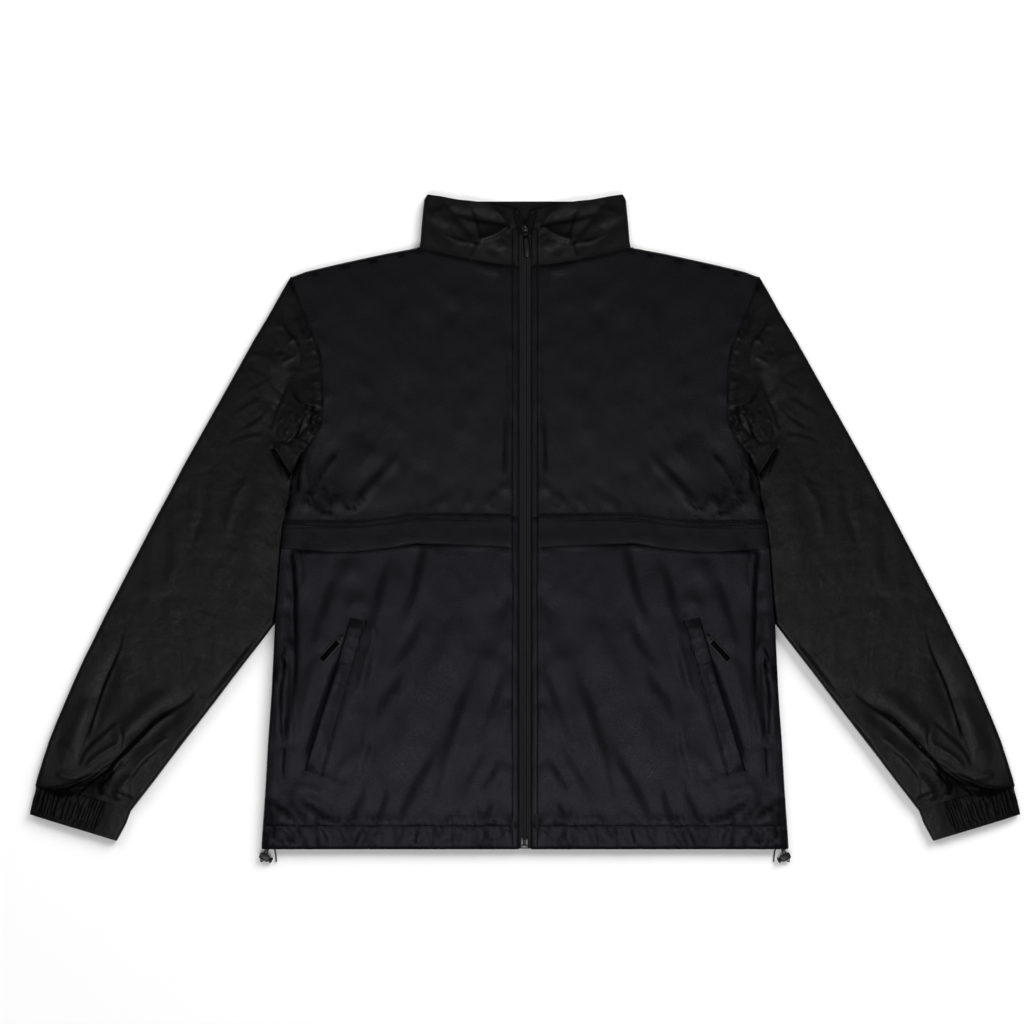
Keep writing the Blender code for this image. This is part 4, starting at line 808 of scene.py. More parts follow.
def makeShell(name, outer, thick, hand=1, ring=False, grain=0.0, stitches=(), out=None, shadePainted=True):
    # a closed shell from a grid of outer points, with a coarser hidden skin that clears every crease
    rows, columns = outer.shape[:2]
    out = facing(outer, ring) if out is None else out
    keptRows = np.unique(np.append(np.arange(0, rows, shell["liningStride"]), rows - 1))
    keptColumns = np.arange(0, columns, shell["liningStride"])
    if not ring:
        keptColumns = np.unique(np.append(keptColumns, columns - 1))
    inner = outer - (thick + clearance(outer, out, ring))[..., None] * out
    points = np.concatenate([outer.reshape(-1, 3), inner[np.ix_(keptRows, keptColumns)].reshape(-1, 3)])
    points[:, 2] = points[:, 2].clip(0)  # nothing below the surface that it lies on
    faces = shellFaces((rows, columns), keptRows, keptColumns, ring)
    gap, run = seamFields(points[:, :2], stitches)
    c, s = math.cos(grain), math.sin(grain)
    cut = points[:, :2] @ np.array([[c, -s], [s, c]])
    unfolded = np.column_stack([np.abs(points[:, 0]), points[:, 1]])
    # painted shade from the creases, left off where the cloth lies near the floor
    dark = paintedShade.at(unfolded) * (points[:, 2] > shell["darkAbove"]) if shadePainted else np.zeros(len(points))
    points = points * (hand, 1, 1)
    triangles = np.array([(f[0], f[k], f[k + 1]) for f in faces for k in range(1, len(f) - 1)])
    first, second, third = (points[triangles[:, k]] for k in range(3))
    if np.einsum("ij,ij->i", first, np.cross(second, third)).sum() < 0:  # inside out where it is mirrored
        faces = [f[::-1] for f in faces]
    mesh = bpy.data.meshes.new(name)
    mesh.from_pydata(points.tolist(), [], faces)
    corner = np.zeros(len(mesh.loops), np.int32)
    mesh.loops.foreach_get("vertex_index", corner)
    mesh.uv_layers.new(name="cut").data.foreach_set("uv", cut[corner].astype(np.float32).ravel())
    for key, values in (("seamGap", gap), ("seamRun", run), ("paintedCreaseShade", dark)):
        mesh.attributes.new(key, "FLOAT", "POINT").data.foreach_set("value", values.astype(np.float32))
    shadeSmooth(mesh, shell["sharp"])
    return linked(name, mesh)


# ---- finishes ----
class Wire:  # a shader socket that takes part in Python sums
    def __init__(self, paint, socket):
        self.paint, self.socket = paint, socket

    def sum(self, operation, *others):
        return self.paint.node("ShaderNodeMath", {"operation": operation}, [self, *others])

    def __add__(self, other):
        return self.sum("ADD", other)

    def __radd__(self, other):
        return self.sum("ADD", other)

    def __mul__(self, other):
        return self.sum("MULTIPLY", other)

    def __rmul__(self, other):
        return self.sum("MULTIPLY", other)

    def __truediv__(self, other):
        return self.sum("DIVIDE", other)

    def __sub__(self, other):
        return self.sum("SUBTRACT", other)

    def __neg__(self):
        return self.sum("MULTIPLY", -1.0)

    def __rsub__(self, other):
        return (-self).sum("ADD", other)


class Paint:  # a Principled material and the nodes that vary it
    def __init__(self, name, **fixed):
        self.material = bpy.data.materials.new(name)
        self.material.use_nodes = True
        self.tree = self.material.node_tree
        self.shader = self.tree.nodes["Principled BSDF"]
        for key, value in fixed.items():
            self.shader.inputs[key.replace("_", " ")].default_value = value

    def node(self, kind, settings, inputs, output=0):
        made = self.tree.nodes.new(kind)
        for key, value in settings.items():
            setattr(made, key, value)
        for key, value in (inputs.items() if isinstance(inputs, dict) else enumerate(inputs)):
            if isinstance(value, Wire):
                self.tree.links.new(value.socket, made.inputs[key])
            else:
                made.inputs[key].default_value = value
        return Wire(self, made.outputs[output])

    # The darker cloth mixed in carries the painted shade in the creases as well as the seams' stitches and the
    # grain.
    def shaded(self, share, colour, glint):  # mixes in a darker, duller cloth
        dark = self.node("ShaderNodeBsdfPrincipled", {}, {
            "Base Color": (*colour, 1), "Roughness": 0.6, "Specular IOR Level": glint,
        })
        mix = self.node("ShaderNodeMixShader", {}, [share, Wire(self, self.shader.outputs[0]), dark])
        self.tree.links.new(mix.socket, self.tree.nodes["Material Output"].inputs["Surface"])

    def feed(self, name, wire):
        self.tree.links.new(wire.socket, self.shader.inputs[name])

    def noise(self, where, scale, detail=2.0, rough=0.5, stretch=None):
        if stretch:
            where = self.node("ShaderNodeVectorMath", {"operation": "MULTIPLY"}, [where, stretch])
        inputs = {"Vector": where, "Scale": scale, "Detail": detail, "Roughness": rough}
        return self.node("ShaderNodeTexNoise", {}, inputs)

    def bump(self, height):  # the height is in metres
        return self.node("ShaderNodeBump", {}, {"Height": height, "Distance": 1.0, "Strength": 1.0})

    def colour(self, base, tone):  # the base colour made lighter and darker by a wire
        scaled = self.node("ShaderNodeVectorMath", {"operation": "SCALE"}, {0: base, "Scale": tone})
        self.feed("Base Color", scaled)

    def attribute(self, name):
        return self.node("ShaderNodeAttribute", {"attribute_name": name}, {}, 2)

    def flatCut(self):  # the place on the flat cut, whole and as its two lengths
        cut = self.node("ShaderNodeUVMap", {"uv_map": "cut"}, {})
        return cut, *(self.node("ShaderNodeSeparateXYZ", {}, [cut], k) for k in (0, 1))


def nylonPaint(name, colour, glint, tint=(1.0, 1.0, 1.0), grain=0.34):  # grain: how much the finest tone varies
    values = {
        "rough": 0.43,
        "thread": 0.0012,  # metres between the ribs of the weave
        "threadHigh": 0.000020,
        "blotches": 34,  # scales of the noises, broadest first
        "mottling": 420,
        "grains": 620,
        "slubs": 900,
        "grit": 1000,
        "slubShort": 0.28,
        "crinkle": 0.00013,
        "fleck": 0.24,  # unevenness of the sheen from thread to thread
        "seamDip": 0.00012,
        "seamHalf": 0.00065,
        "seamPucker": 0.00010,
        "puckerReach": 0.0022,
        "puckers": (520, 160),  # noise scales along and away from a seam
        "seamDark": 0.70,
        "pitch": 0.0029,  # metres from stitch to stitch
        "mottled": 0.16,
        "shadeGlint": 0.02,
    }
    paint = Paint(name, Specular_IOR_Level=glint, Specular_Tint=(*tint, 1))
    cut, u, v = paint.flatCut()
    turn = math.pi / values["thread"]
    weave = (u * turn).sum("SINE") * (v * turn).sum("SINE")
    blotch = paint.noise(cut, values["blotches"], 3.0, 0.55)
    mottle = paint.noise(cut, values["mottling"], 2.0, 0.6)
    slubs = paint.noise(cut, values["slubs"], 1.0, 0.5, (1.0, values["slubShort"], 1.0))
    slubs = slubs + paint.noise(cut, values["slubs"], 1.0, 0.5, (values["slubShort"], 1.0, 1.0))
    gap, run = paint.attribute("seamGap"), paint.attribute("seamRun")
    near = (gap * gap * (-1 / values["seamHalf"] ** 2)).sum("EXPONENT")
    close = (gap.sum("ABSOLUTE") * (-1 / values["puckerReach"])).sum("EXPONENT")
    alongSeam, offSeam = values["puckers"]
    seamPlace = paint.node("ShaderNodeCombineXYZ", {}, [run * alongSeam, gap * offSeam, 0.0])
    seamNoise = paint.noise(seamPlace, 1.0, 1.0)
    grit = paint.noise(cut, values["grit"], 1.0, 0.6)
    height = weave * values["threadHigh"] + mottle * values["crinkle"] + grit * values["crinkle"] * 0.6
    height = height - near * values["seamDip"] + (seamNoise - 0.5) * close * (values["seamPucker"] * 2)
    paint.feed("Normal", paint.bump(height))
    paint.colour(colour, 0.78 + blotch * 0.30 + mottle * 0.10)
    rough = values["rough"] + (blotch - 0.5) * 0.16 + (mottle - 0.5) * 0.10
    paint.feed("Roughness", rough + (slubs - 1.0) * values["fleck"])
    # Painted shade in creases and folds darkens the cloth through the mix; the stitches darken it in dots along
    # the seams, and grain and mottling vary it at random.
    paintedCreaseShade = paint.attribute("paintedCreaseShade")
    dots = (run * (2 * math.pi / values["pitch"])).sum("SINE") * 0.3 + 0.7
    fine = paint.noise(cut, values["grains"], 1.0, 0.5)
    light = (1 - paintedCreaseShade) * (1 - near * dots * values["seamDark"])
    light = light * (1 - grain + (fine - 0.5) * 2.8 * grain + weave * 0.5 * grain)
    light = light * (1 + (mottle - 0.5) * values["mottled"])
    shade = (1 - light).sum("MAXIMUM", 0.0).sum("MINIMUM", 1.0)
    paint.shaded(shade, [c * 0.4 for c in colour], values["shadeGlint"])
    return paint.material


# The same nylon in copies whose gloss and base colour are set part by part to the brightness each part shows
# under the light: painted light and shade. The cuff's copy is painted darker for the shade among its gathers,
# and the cool specular tint paints a bluish light into the reflections of the body, chest and flap.
coolTint = (0.92, 0.925, 1.0)
nylonBody = nylonPaint("nylonBody", (0.0014, 0.0014, 0.0020), 0.266, (0.86, 0.87, 1.0))
nylonChest = nylonPaint("nylonChest", (0.0014, 0.0014, 0.0018), 0.312, coolTint)
nylonFlap = nylonPaint("nylonFlap", (0.0014, 0.0014, 0.0018), 0.236, coolTint)
nylonSleeve = nylonPaint("nylonSleeve", (0.0015, 0.0015, 0.0016), 0.214, grain=0.20)
nylonTrim = nylonPaint("nylonTrim", (0.0012, 0.0012, 0.0013), 0.312, grain=0.20)
nylonCuff = nylonPaint("nylonCuff", (0.0010, 0.0010, 0.0011), 0.115, grain=0.20)


def plainPaint(name, colour, rough, metallic=0.0, grain=900, high=0.00001, glint=0.5):
    paint = Paint(name, Metallic=metallic, Specular_IOR_Level=glint)
    where = paint.node("ShaderNodeTexCoord", {}, {}, 3)
    fine = paint.noise(where, grain, 3.0)
    broad = paint.noise(where, grain / 9, 2.0)
    paint.colour(colour, 0.8 + broad * 0.4)
    paint.feed("Roughness", rough + (fine - 0.5) * 0.2)
    paint.feed("Normal", paint.bump(fine * high))
    return paint.material


def tapePaint(name, level):  # level: how bright it is beside the tape of the closed zip
    values = {
        "colour": (0.0060, 0.0060, 0.0066),
        "glint": 0.14,
        "rib": 0.0026,  # metres from rib to rib, and from turn to turn of the coil
        "pick": 0.0017,
        "centreHalf": 0.0008,
    }
    paint = Paint(name, Specular_IOR_Level=values["glint"] * level)
    _, u, v = paint.flatCut()
    ribs = (u * (2 * math.pi / values["rib"])).sum("COSINE")
    picks = (v * (2 * math.pi / values["pick"])).sum("SINE")
    centre = (u.sum("ABSOLUTE") * (-1 / values["centreHalf"])).sum("EXPONENT")
    chain = (v * (2 * math.pi / values["rib"])).sum("SINE")
    paint.feed("Normal", paint.bump(ribs * 0.00012 + picks * 0.00004 + centre * chain * 0.0002))
    tone = 1.0 + ribs * 0.45 + picks * 0.18 + centre * (0.6 + chain * 0.6)
    paint.colour([c * level for c in values["colour"]], tone)
    paint.feed("Roughness", 0.6 + picks * 0.05)
    return paint.material


zipTape = tapePaint("zipTape", 1.0)
# A darker copy of the tape for the part inside the zip's open top: painted shade where the tape lies in shadow
# there.
zipTapeShaded = tapePaint("zipTapeShaded", 0.45)
zipCoil = plainPaint("zipCoil", (0.035, 0.035, 0.038), 0.45, glint=0.3)
blackThread = plainPaint("blackThread", (0.002, 0.002, 0.002), 0.7, glint=0.03)
zipMetal = plainPaint("zipMetal", (0.075, 0.075, 0.077), 0.36, 1.0)
darkPlastic = plainPaint("darkPlastic", (0.0035, 0.0035, 0.0037), 0.42, glint=0.24)
lockPlastic = plainPaint("lockPlastic", (0.007, 0.0078, 0.0068), 0.36, glint=0.3)
# Near-black rubber for the pocket pull's face, which also rims the front zip's tab as a painted shadow.
pullRubberAndShadow = plainPaint("pullRubberAndShadow", (0.0008, 0.0008, 0.0008), 0.5, glint=0.02)
pullRim = plainPaint("pullRim", (0.008, 0.008, 0.0078), 0.42, glint=0.23)
darkMetal = plainPaint("darkMetal", (0.03, 0.03, 0.031), 0.42, 1.0)
cordBraid = plainPaint("cordBraid", (0.02, 0.02, 0.021), 0.65, grain=1800, high=0.00008)
print("finishes made")


def hardware(obj, nodes, body="root"):  # what a piece rides on and which nodes it stands for
    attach(obj, body)
    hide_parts(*nodes)


def dress(obj, material, nodes):
    obj.data.materials.append(material)
    hardware(obj, nodes)


def repaint(obj, material, chosen):  # a second material on the faces whose centres are chosen
    obj.data.materials.append(material)
    centres = np.zeros(len(obj.data.polygons) * 3)
    obj.data.polygons.foreach_get("center", centres)
    obj.data.polygons.foreach_set("material_index", chosen(centres.reshape(-1, 3)).astype(np.int32))


# ---- body panels ----
hands = (("left", -1), ("right", 1))
sewing = {
    "thread": {"Pitch": 0.0027, "Length": 0.0021, "Width": 0.0012, "Height": 0.00045, "Sides": 5},
    "courseStep": 0.0013,
    "armholeRows": (-0.0016, -0.0062),  # metres in from the armhole, on the body
    "neckRow": 0.0022,
    "flapRows": {"flapTop": 1.0, "flapSecond": 6.6},  # drafting units below the flap's top
    "flapRowEnds": 0.2755,
    "collarBox": [(12.4, 264), (12.4, 246), (12.4, 229.4), (10, 229.2), (7.2, 229.2)],
}
panels = {
    "wide": 0.290,  # lengths that the grids' steps are counted over
    "lowerLong": 0.372,
    "yokeLong": 0.310,
    "backLong": 0.62,
    "across": 0.00105,
    "yokeCoarser": 1.2,
    "down": 0.0016,
    "backStep": 0.006,
    "edgeWide": 0.0014,  # the folded front edge turns down over this width
    "edgeDrop": 0.0009,
    "hemDrop": 0.0008,
}
# How far from an edge a grid has its first rows or columns.
nearFold = (0, 0.0004, 0.0012, 0.0025, 0.0045, 0.007)
nearPlacket = (
    0, 0.0004, 0.001, 0.002, 0.0035, 0.0048, 0.0057, 0.0063, 0.0067, 0.0071, 0.0075, 0.0079, 0.0085, 0.0094,
)
nearHem = (
    0, 0.0006, *np.arange(0.0016, 0.0240, 0.0015),
    0.0248, 0.0256, 0.0262, 0.0268, 0.0274, 0.0280, 0.0288, 0.0298,
)
stitchRows = {"placket": draft(placket), "hem": draft(hemLine)}
for name, lower in sewing["flapRows"].items():
    stitchRows[name] = draft([(x, y + lower) for x, y in outline["flapTop"]])

yokeSeam, neckLine, armhole = (rounded(lines[name]) for name in ("yokeSeam", "neckFront", "armhole"))
bodySide = lines["bodySide"]
seamEnd = yokeSeam[-1]
seamEnd[0] = np.interp(-seamEnd[1], -bodySide[:, 1], bodySide[:, 0])  # the seam ends on the side fold
sideAbove = np.vstack([bodySide[bodySide[:, 1] > seamEnd[1] + 0.002], seamEnd])
sideBelow = np.vstack([seamEnd, bodySide[bodySide[:, 1] < seamEnd[1] - 0.002]])
centreX = drafting["zipHalf"] * drafting["unit"]


def frontEdge(grid):  # the folded front edge turns down over the zip
    gap = np.clip((grid[..., 0] - centreX) / panels["edgeWide"], 0, 1)
    grid[..., 2] -= panels["edgeDrop"] * (1 - gap) ** 2
    return grid


flap = {
    "side": [(239.5, 520), (242, 534), (243.6, 548)],
    "wide": 0.265,
    "long": 0.036,
    "across": 0.0018,
    "down": 0.0016,
    "raised": 0.0008,
    "lifts": 0.0007,  # how much higher its free edge lies
    "edgeDrops": ((0, 0.00040), (-1, 0.00022), (-2, 0.00004)),  # rows that turn down, and by how much
    "thick": 0.0009,
}
flapTop, flapEdge = rounded(lines["flapTop"]), rounded(lines["flapEdge"])
across = spaced(flap["wide"], flap["across"], (0, 0.001), nearFold)
down = spaced(flap["long"], flap["down"], (0, 0.0005, 0.0012), (0, 0.0004, 0.0010, 0.0015))
plan = patch(flapTop, flapEdge, np.array([flapTop[0], flapEdge[0]]), draft(flap["side"]), across, down)
grid = lift(plan, sideLine)
grid[..., 2] += flap["raised"] + flap["lifts"] * eased((down - 0.2) / 0.8)[:, None]
for row, drop in flap["edgeDrops"]:
    grid[row, :, 2] -= drop
for side, hand in hands:
    piece = makeShell(f"stormFlap.{side}", grid, flap["thick"], hand,
                      stitches=[stitchRows["flapTop"], stitchRows["flapSecond"]])
    dress(piece, nylonFlap, [f"storm_flap_{side}"])

# What lies under the flaps' edges and against the pocket welts sinks: course, depth and half width.
contacts = [
    ([(x, y + 0.1) for x, y in outline["flapEdge"]], 1.2, 1.3),
    ([(x, y + 1.4) for x, y in outline["flapTop"]], 0.8, 1.6),
    ([(157, 618.5), (155.3, 622), (199.4, 776.6), (203, 778.2), (219, 773.6)], 0.9, 1.4),
    ([(155.4, 619.5), (160, 616.8), (174.5, 614.6)], 0.8, 1.3),
    ([(177.0, 622), (222.2, 771)], 1.4, 2.0),
]
for course, deep, half in contacts:
    relief.crease("ridge", -deep, half, course, (0, 0))

hemEnds = draft([(drafting["zipHalf"], drafting["hemDrop"]), outline["bodySide"][-1]])
across = spaced(panels["wide"], panels["across"], nearPlacket, nearFold)
down = spaced(panels["lowerLong"], panels["down"], (0,), nearHem)
plan = patch(yokeSeam, hemEnds, np.array([yokeSeam[0], hemEnds[0]]), sideBelow, across, down)
lowerGrid = frontEdge(lift(plan, sideLine))
lowerGrid[-1, :, 2] -= panels["hemDrop"]
lowerRows = [stitchRows["placket"], stitchRows["hem"]]

top = np.vstack([neckLine, lines["shoulder"][1:]])
right = np.vstack([armhole, sideAbove[1:]])
across = spaced(panels["wide"], panels["across"] * panels["yokeCoarser"], nearPlacket, nearFold)
down = spaced(panels["yokeLong"], panels["down"], (0, 0.001), (0,))
plan = patch(top, yokeSeam, np.array([top[0], yokeSeam[0]]), right, across, down)
yokeGrid = frontEdge(lift(plan, sideLine))
yokeRows = [
    stitchRows["placket"], away(armhole, sewing["armholeRows"][0]), away(neckLine, -sewing["neckRow"]),
]
for side, hand in hands:
    lower = makeShell(f"lowerFront.{side}", tucked(lowerGrid), shell["thick"], hand, stitches=lowerRows)
    dress(lower, nylonBody, [f"front_lower_{side}"])
    yoke = makeShell(f"frontYoke.{side}", yokeGrid, shell["thick"], hand, stitches=yokeRows)
    dress(yoke, nylonChest, [f"front_yoke_{side}"])
print("fronts made")

top = np.vstack([rounded(lines["neckBack"]), lines["shoulder"][1:]])
right = np.vstack([armhole, bodySide[1:]])
across = spaced(panels["wide"], panels["backStep"], (0,), nearFold)
down = spaced(panels["backLong"], panels["backStep"])
hemMiddle = (0, drafting["hemDrop"])
hem, middle = draft([hemMiddle, outline["bodySide"][-1]]), draft([outline["neckBack"][0], hemMiddle])
grid = lift(patch(top, hem, middle, right, across, down), sideLine, underneath)
flip = np.array((-1, 1, 1))
grid = np.concatenate([(grid * flip)[:, :0:-1], grid], 1)
back = makeShell("backPanel", grid, shell["thick"], out=-facing(grid), shadePainted=False)
dress(back, nylonBody, ["back"])
print("back made")

# ---- sleeves and cuffs ----
sleeve = {
    "long": 0.62,  # lengths that the grid's steps are counted over
    "wide": 0.19,
    "down": 0.0020,
    "across": 0.0015,
    "underAcross": 0.009,
    "grain": math.radians(27),
    "lag": 1.35,  # how much the sections' inner ends crowd towards the armhole
    "overhang": 0.0016,  # how far the full cloth stands up over the elastic
    "turnsDown": 0.0011,  # and drops at its very end
}
cuff = {"long": 0.040, "wide": 0.11, "down": 0.0016, "across": 0.0007, "underAcross": 0.004, "sag": 0.0026}
cuffTop = rounded(lines["cuffTop"])


def tubePlan(first, outer, inner, across, down, lag=1.0, last=None):
    # straight sections between two edges, bowed at one or both ends to meet the lines given for them
    u, v = across[None, :, None], down[:, None, None]
    outer, inner = along(outer, down)[:, None], along(inner, down**lag)[:, None]
    plan = (1 - u) * outer + u * inner + (first - ((1 - u[0]) * outer[0] + u[0] * inner[0])) * (1 - v) ** 3
    if last is not None:
        plan = plan + (last - ((1 - u[0]) * outer[-1] + u[0] * inner[-1])) * v**14
    return plan

def wallShares(size):  # grid shares across a tube, for its upper and its hidden wall
    return [spaced(size["wide"], size[step], nearFold, nearFold) for step in ("across", "underAcross")]


def tubeGrid(upper, plan):  # the two walls as one ring of columns
    return np.concatenate([upper, lift(plan, innerLine, underneath)[:, -2:0:-1]], 1)


down = spaced(sleeve["long"], sleeve["down"], (0,), (0, 0.0008, 0.002))
over, nether = wallShares(sleeve)
plans = [
    tubePlan(along(armhole, shares), lines["sleeveOuter"], lines["sleeveInner"], shares, down, sleeve["lag"],
             along(cuffTop, shares))
    for shares in (over, nether)
]
upper = lift(plans[0], innerLine)
fullness = np.sin(np.pi * np.clip(over, 0, 1))[None] ** 0.5
fullness = fullness * eased((0.42 - over) / 0.2)[None]  # the sleeve droops over the elastic half of the cuff
upper[..., 2] += sleeve["overhang"] * fullness * np.clip((down[:, None] - 0.94) / 0.05, 0, 1) ** 2
upper[-1, :, 2] -= sleeve["turnsDown"] * fullness[0]
sleeveGrid = tubeGrid(upper, plans[1])

down = spaced(cuff["long"], cuff["down"], (0,), (0, 0.0006))
over, nether = wallShares(cuff)
plans = [
    tubePlan(along(cuffTop, shares), lines["cuffOuter"], lines["cuffInner"], shares, down)
    for shares in (over, nether)
]
upper = lift(plans[0], innerLine)
atFold = np.clip(1 - over / 0.3, 0, 1)[None] ** 2
atSeam = 0.6 * np.clip(1 - down / 0.4, 0, 1)[:, None] ** 2 * eased((0.8 - over) / 0.2)
upper[..., 2] -= cuff["sag"] * (atFold + atSeam) * np.clip(over / 0.03, 0, 1)[None]
cuffGrid = tubeGrid(upper, plans[1])
plainFrom = np.array([along(line, [gathers["share"]])[0] for line in (lines["cuffTop"], cuffEnd)])

for side, hand in hands:
    tube = makeShell(f"sleeve.{side}", tucked(sleeveGrid), shell["thick"], hand, True, sleeve["grain"])
    dress(tube, nylonSleeve, [f"sleeve_over_{side}", f"sleeve_under_{side}"])
    band = makeShell(f"cuff.{side}", tucked(cuffGrid), shell["doubled"], hand, True, sleeve["grain"])
    dress(band, nylonCuff, [f"cuff_{side}"])
    # The plain part of the cuff takes the sleeve's nylon; the gathered part keeps the cuff's darker copy,
    # painted shade for its gathers.
    repaint(band, nylonSleeve, lambda centres: nearest(centres[:, :2] * (hand, 1), plainFrom)[0] < 0)
print("sleeves made")

# ---- collar ----
stand = {
    "high": 0.062,
    "long": 0.112,
    "step": 0.0016,
    "frontEdge": [(6.1, 266.4), (6.1, 232), (12.5, 209.5)],
    "backMiddle": [(0, 257), (0, 201)],
    "edgeWide": 0.0016,  # the front edge turns down over this width
    "edgeDrop": 0.0012,
    "stitches": [[(12.4, 264), (12.4, 229.4)], [(12.4, 229.3), (6.1, 229.2)]],
}
rise = spaced(stand["high"], stand["step"], (0,), (0, 0.0006))
across = spaced(stand["long"], stand["step"], (0, 0.0006, 0.0015), nearFold)
foldLine = lines["collarSide"][::-1]
plan = patch(neckLine, rounded(lines["collarTop"]), draft(stand["frontEdge"]), foldLine, across, rise)
front = lift(plan, sideLine)
past = np.clip(np.linalg.norm(front[:, :, :2] - front[:, :1, :2], axis=-1) / stand["edgeWide"], 0, 1)
front[..., 2] -= stand["edgeDrop"] * (1 - past) ** 2
backEdge = rounded(lines["neckBack"])
plan = patch(backEdge, lines["collarBackTop"], draft(stand["backMiddle"]), foldLine, across, rise)
half = np.concatenate([front, lift(plan, sideLine, underneath)[:, -2::-1]], 1)
grid = np.concatenate([half, (half * flip)[:, -2::-1]], 1)
collarRows = [draft(row) for row in stand["stitches"]]
collarRows += [row * (-1, 1) for row in collarRows]
collar = makeShell("collarStand", grid, shell["doubled"], stitches=collarRows)
dress(collar, nylonTrim, ["collar"])
print("collar made")

# ---- stitches: one node tree, fed a course that lies on the cloth ----
def courseObject(name, courses):  # polylines in space as one mesh of edges
    points, edges = [], []
    for course in courses:
        edges += [(len(points) + k, len(points) + k + 1) for k in range(len(course) - 1)]
        points += [tuple(p) for p in course]
    mesh = bpy.data.meshes.new(name)
    mesh.from_pydata(points, edges, [])
    return linked(name, mesh)


class Tree:  # a geometry node tree with named inputs
    def __init__(self, name, inputs):
        self.group = bpy.data.node_groups.new(name, "GeometryNodeTree")
        face = self.group.interface
        face.new_socket("Geometry", in_out="INPUT", socket_type="NodeSocketGeometry")
        face.new_socket("Geometry", in_out="OUTPUT", socket_type="NodeSocketGeometry")
        self.names = {}
        for label, (kind, value) in inputs.items():
            socket = face.new_socket(label, in_out="INPUT", socket_type=kind)
            if value is not None:
                socket.default_value = value
            self.names[label] = socket.identifier
        self.start = self.group.nodes.new("NodeGroupInput")
        self.end = self.group.nodes.new("NodeGroupOutput")

    def node(self, kind, settings=None, **inputs):
        made = self.group.nodes.new(kind)
        for key, value in (settings or {}).items():
            setattr(made, key, value)
        for key, value in inputs.items():  # n and a number stand for a socket by its place
            byPlace = key[0] == "n" and key[1:].isdigit()
            socket = made.inputs[int(key[1:]) if byPlace else key.replace("_", " ")]
            if isinstance(value, bpy.types.NodeSocket):
                self.group.links.new(value, socket)
            else:
                socket.default_value = value
        return made


def repeatTree(name):  # a small closed piece at every step of a course, turned along it
    tree = Tree(name, {
        "Pitch": ("NodeSocketFloat", 0.0026),
        "Length": ("NodeSocketFloat", 0.0019),
        "Width": ("NodeSocketFloat", 0.0004),
        "Height": ("NodeSocketFloat", 0.0003),
        "Unevenness": ("NodeSocketFloat", 0.12),
        "Slant": ("NodeSocketFloat", 0.0),
        "Sides": ("NodeSocketInt", 6),
        "Seed": ("NodeSocketInt", 3),
        "Material": ("NodeSocketMaterial", None),
    })
    given = tree.start.outputs
    path = tree.node("GeometryNodeMeshToCurve", Mesh=given["Geometry"])
    steps = tree.node(
        "GeometryNodeResampleCurve", {"mode": "LENGTH"}, Curve=path.outputs["Curve"], Length=given["Pitch"],
    )
    piece = tree.node("GeometryNodeMeshUVSphere", Segments=given["Sides"], Rings=4, Radius=0.5)
    size = tree.node("ShaderNodeCombineXYZ", X=given["Width"], Y=given["Height"], Z=given["Length"])
    shaped = tree.node("GeometryNodeTransform", Geometry=piece.outputs["Mesh"], Scale=size.outputs[0])
    tangent = tree.node("GeometryNodeInputTangent")
    turned = tree.node("FunctionNodeAlignRotationToVector", {"axis": "Z"}, Vector=tangent.outputs[0])
    upright = tree.node(
        "FunctionNodeAlignRotationToVector", {"axis": "Y", "pivot_axis": "Z"},
        Rotation=turned.outputs[0], Vector=(0.0, 0.0, 1.0),
    )
    less = tree.node("ShaderNodeMath", {"operation": "MULTIPLY"}, n0=given["Unevenness"], n1=-1.0)
    sway = tree.node("FunctionNodeRandomValue", Seed=given["Seed"])
    limits = {"Min": less.outputs[0], "Max": given["Unevenness"]}
    for socket in sway.inputs:  # the float sockets share their names with the others
        if socket.name in limits and socket.type == "VALUE":
            tree.group.links.new(limits[socket.name], socket)
    drift = [o for o in sway.outputs if o.type == "VALUE"][0]
    lean = tree.node("ShaderNodeMath", {"operation": "ADD"}, n0=drift, n1=given["Slant"])
    swing = tree.node("ShaderNodeCombineXYZ", Y=lean.outputs[0])
    local = tree.node(
        "FunctionNodeRotateRotation", {"rotation_space": "LOCAL"},
        Rotation=upright.outputs[0], n1=swing.outputs[0],
    )
    placed = tree.node(
        "GeometryNodeInstanceOnPoints", Points=steps.outputs["Curve"], Instance=shaped.outputs["Geometry"],
        Rotation=local.outputs[0],
    )
    real = tree.node("GeometryNodeRealizeInstances", Geometry=placed.outputs["Instances"])
    dressed = tree.node(
        "GeometryNodeSetMaterial", Geometry=real.outputs["Geometry"], Material=given["Material"],
    )
    tree.group.links.new(dressed.outputs["Geometry"], tree.end.inputs["Geometry"])
    return tree


repeats = repeatTree("piecesAlongCourse")


def runPieces(name, courses, material, slot="nylon", **values):
    obj = courseObject(name, courses)
    step = obj.modifiers.new("pieces", "NODES")
    step.node_group = repeats.group
    for label, value in {**values, "Material": material}.items():
        step[repeats.names[label]] = value
    bpy.context.view_layer.update()
    made = bpy.data.meshes.new_from_object(obj.evaluated_get(bpy.context.evaluated_depsgraph_get()))
    obj.modifiers.remove(step)
    obj.data = made
    made.polygons.foreach_set("use_smooth", [True] * len(made.polygons))
    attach(obj, "root")


def onCloth(course, raised):  # a drafted course as points just above the cloth
    line = rounded(course) if len(course) > 2 else course
    length = np.hypot(*np.diff(line, axis=0).T).sum()
    line = along(line, np.linspace(0, 1, max(int(length / sewing["courseStep"]), 2)))
    return lift(line[None], sideLine)[0] + (0, 0, raised)


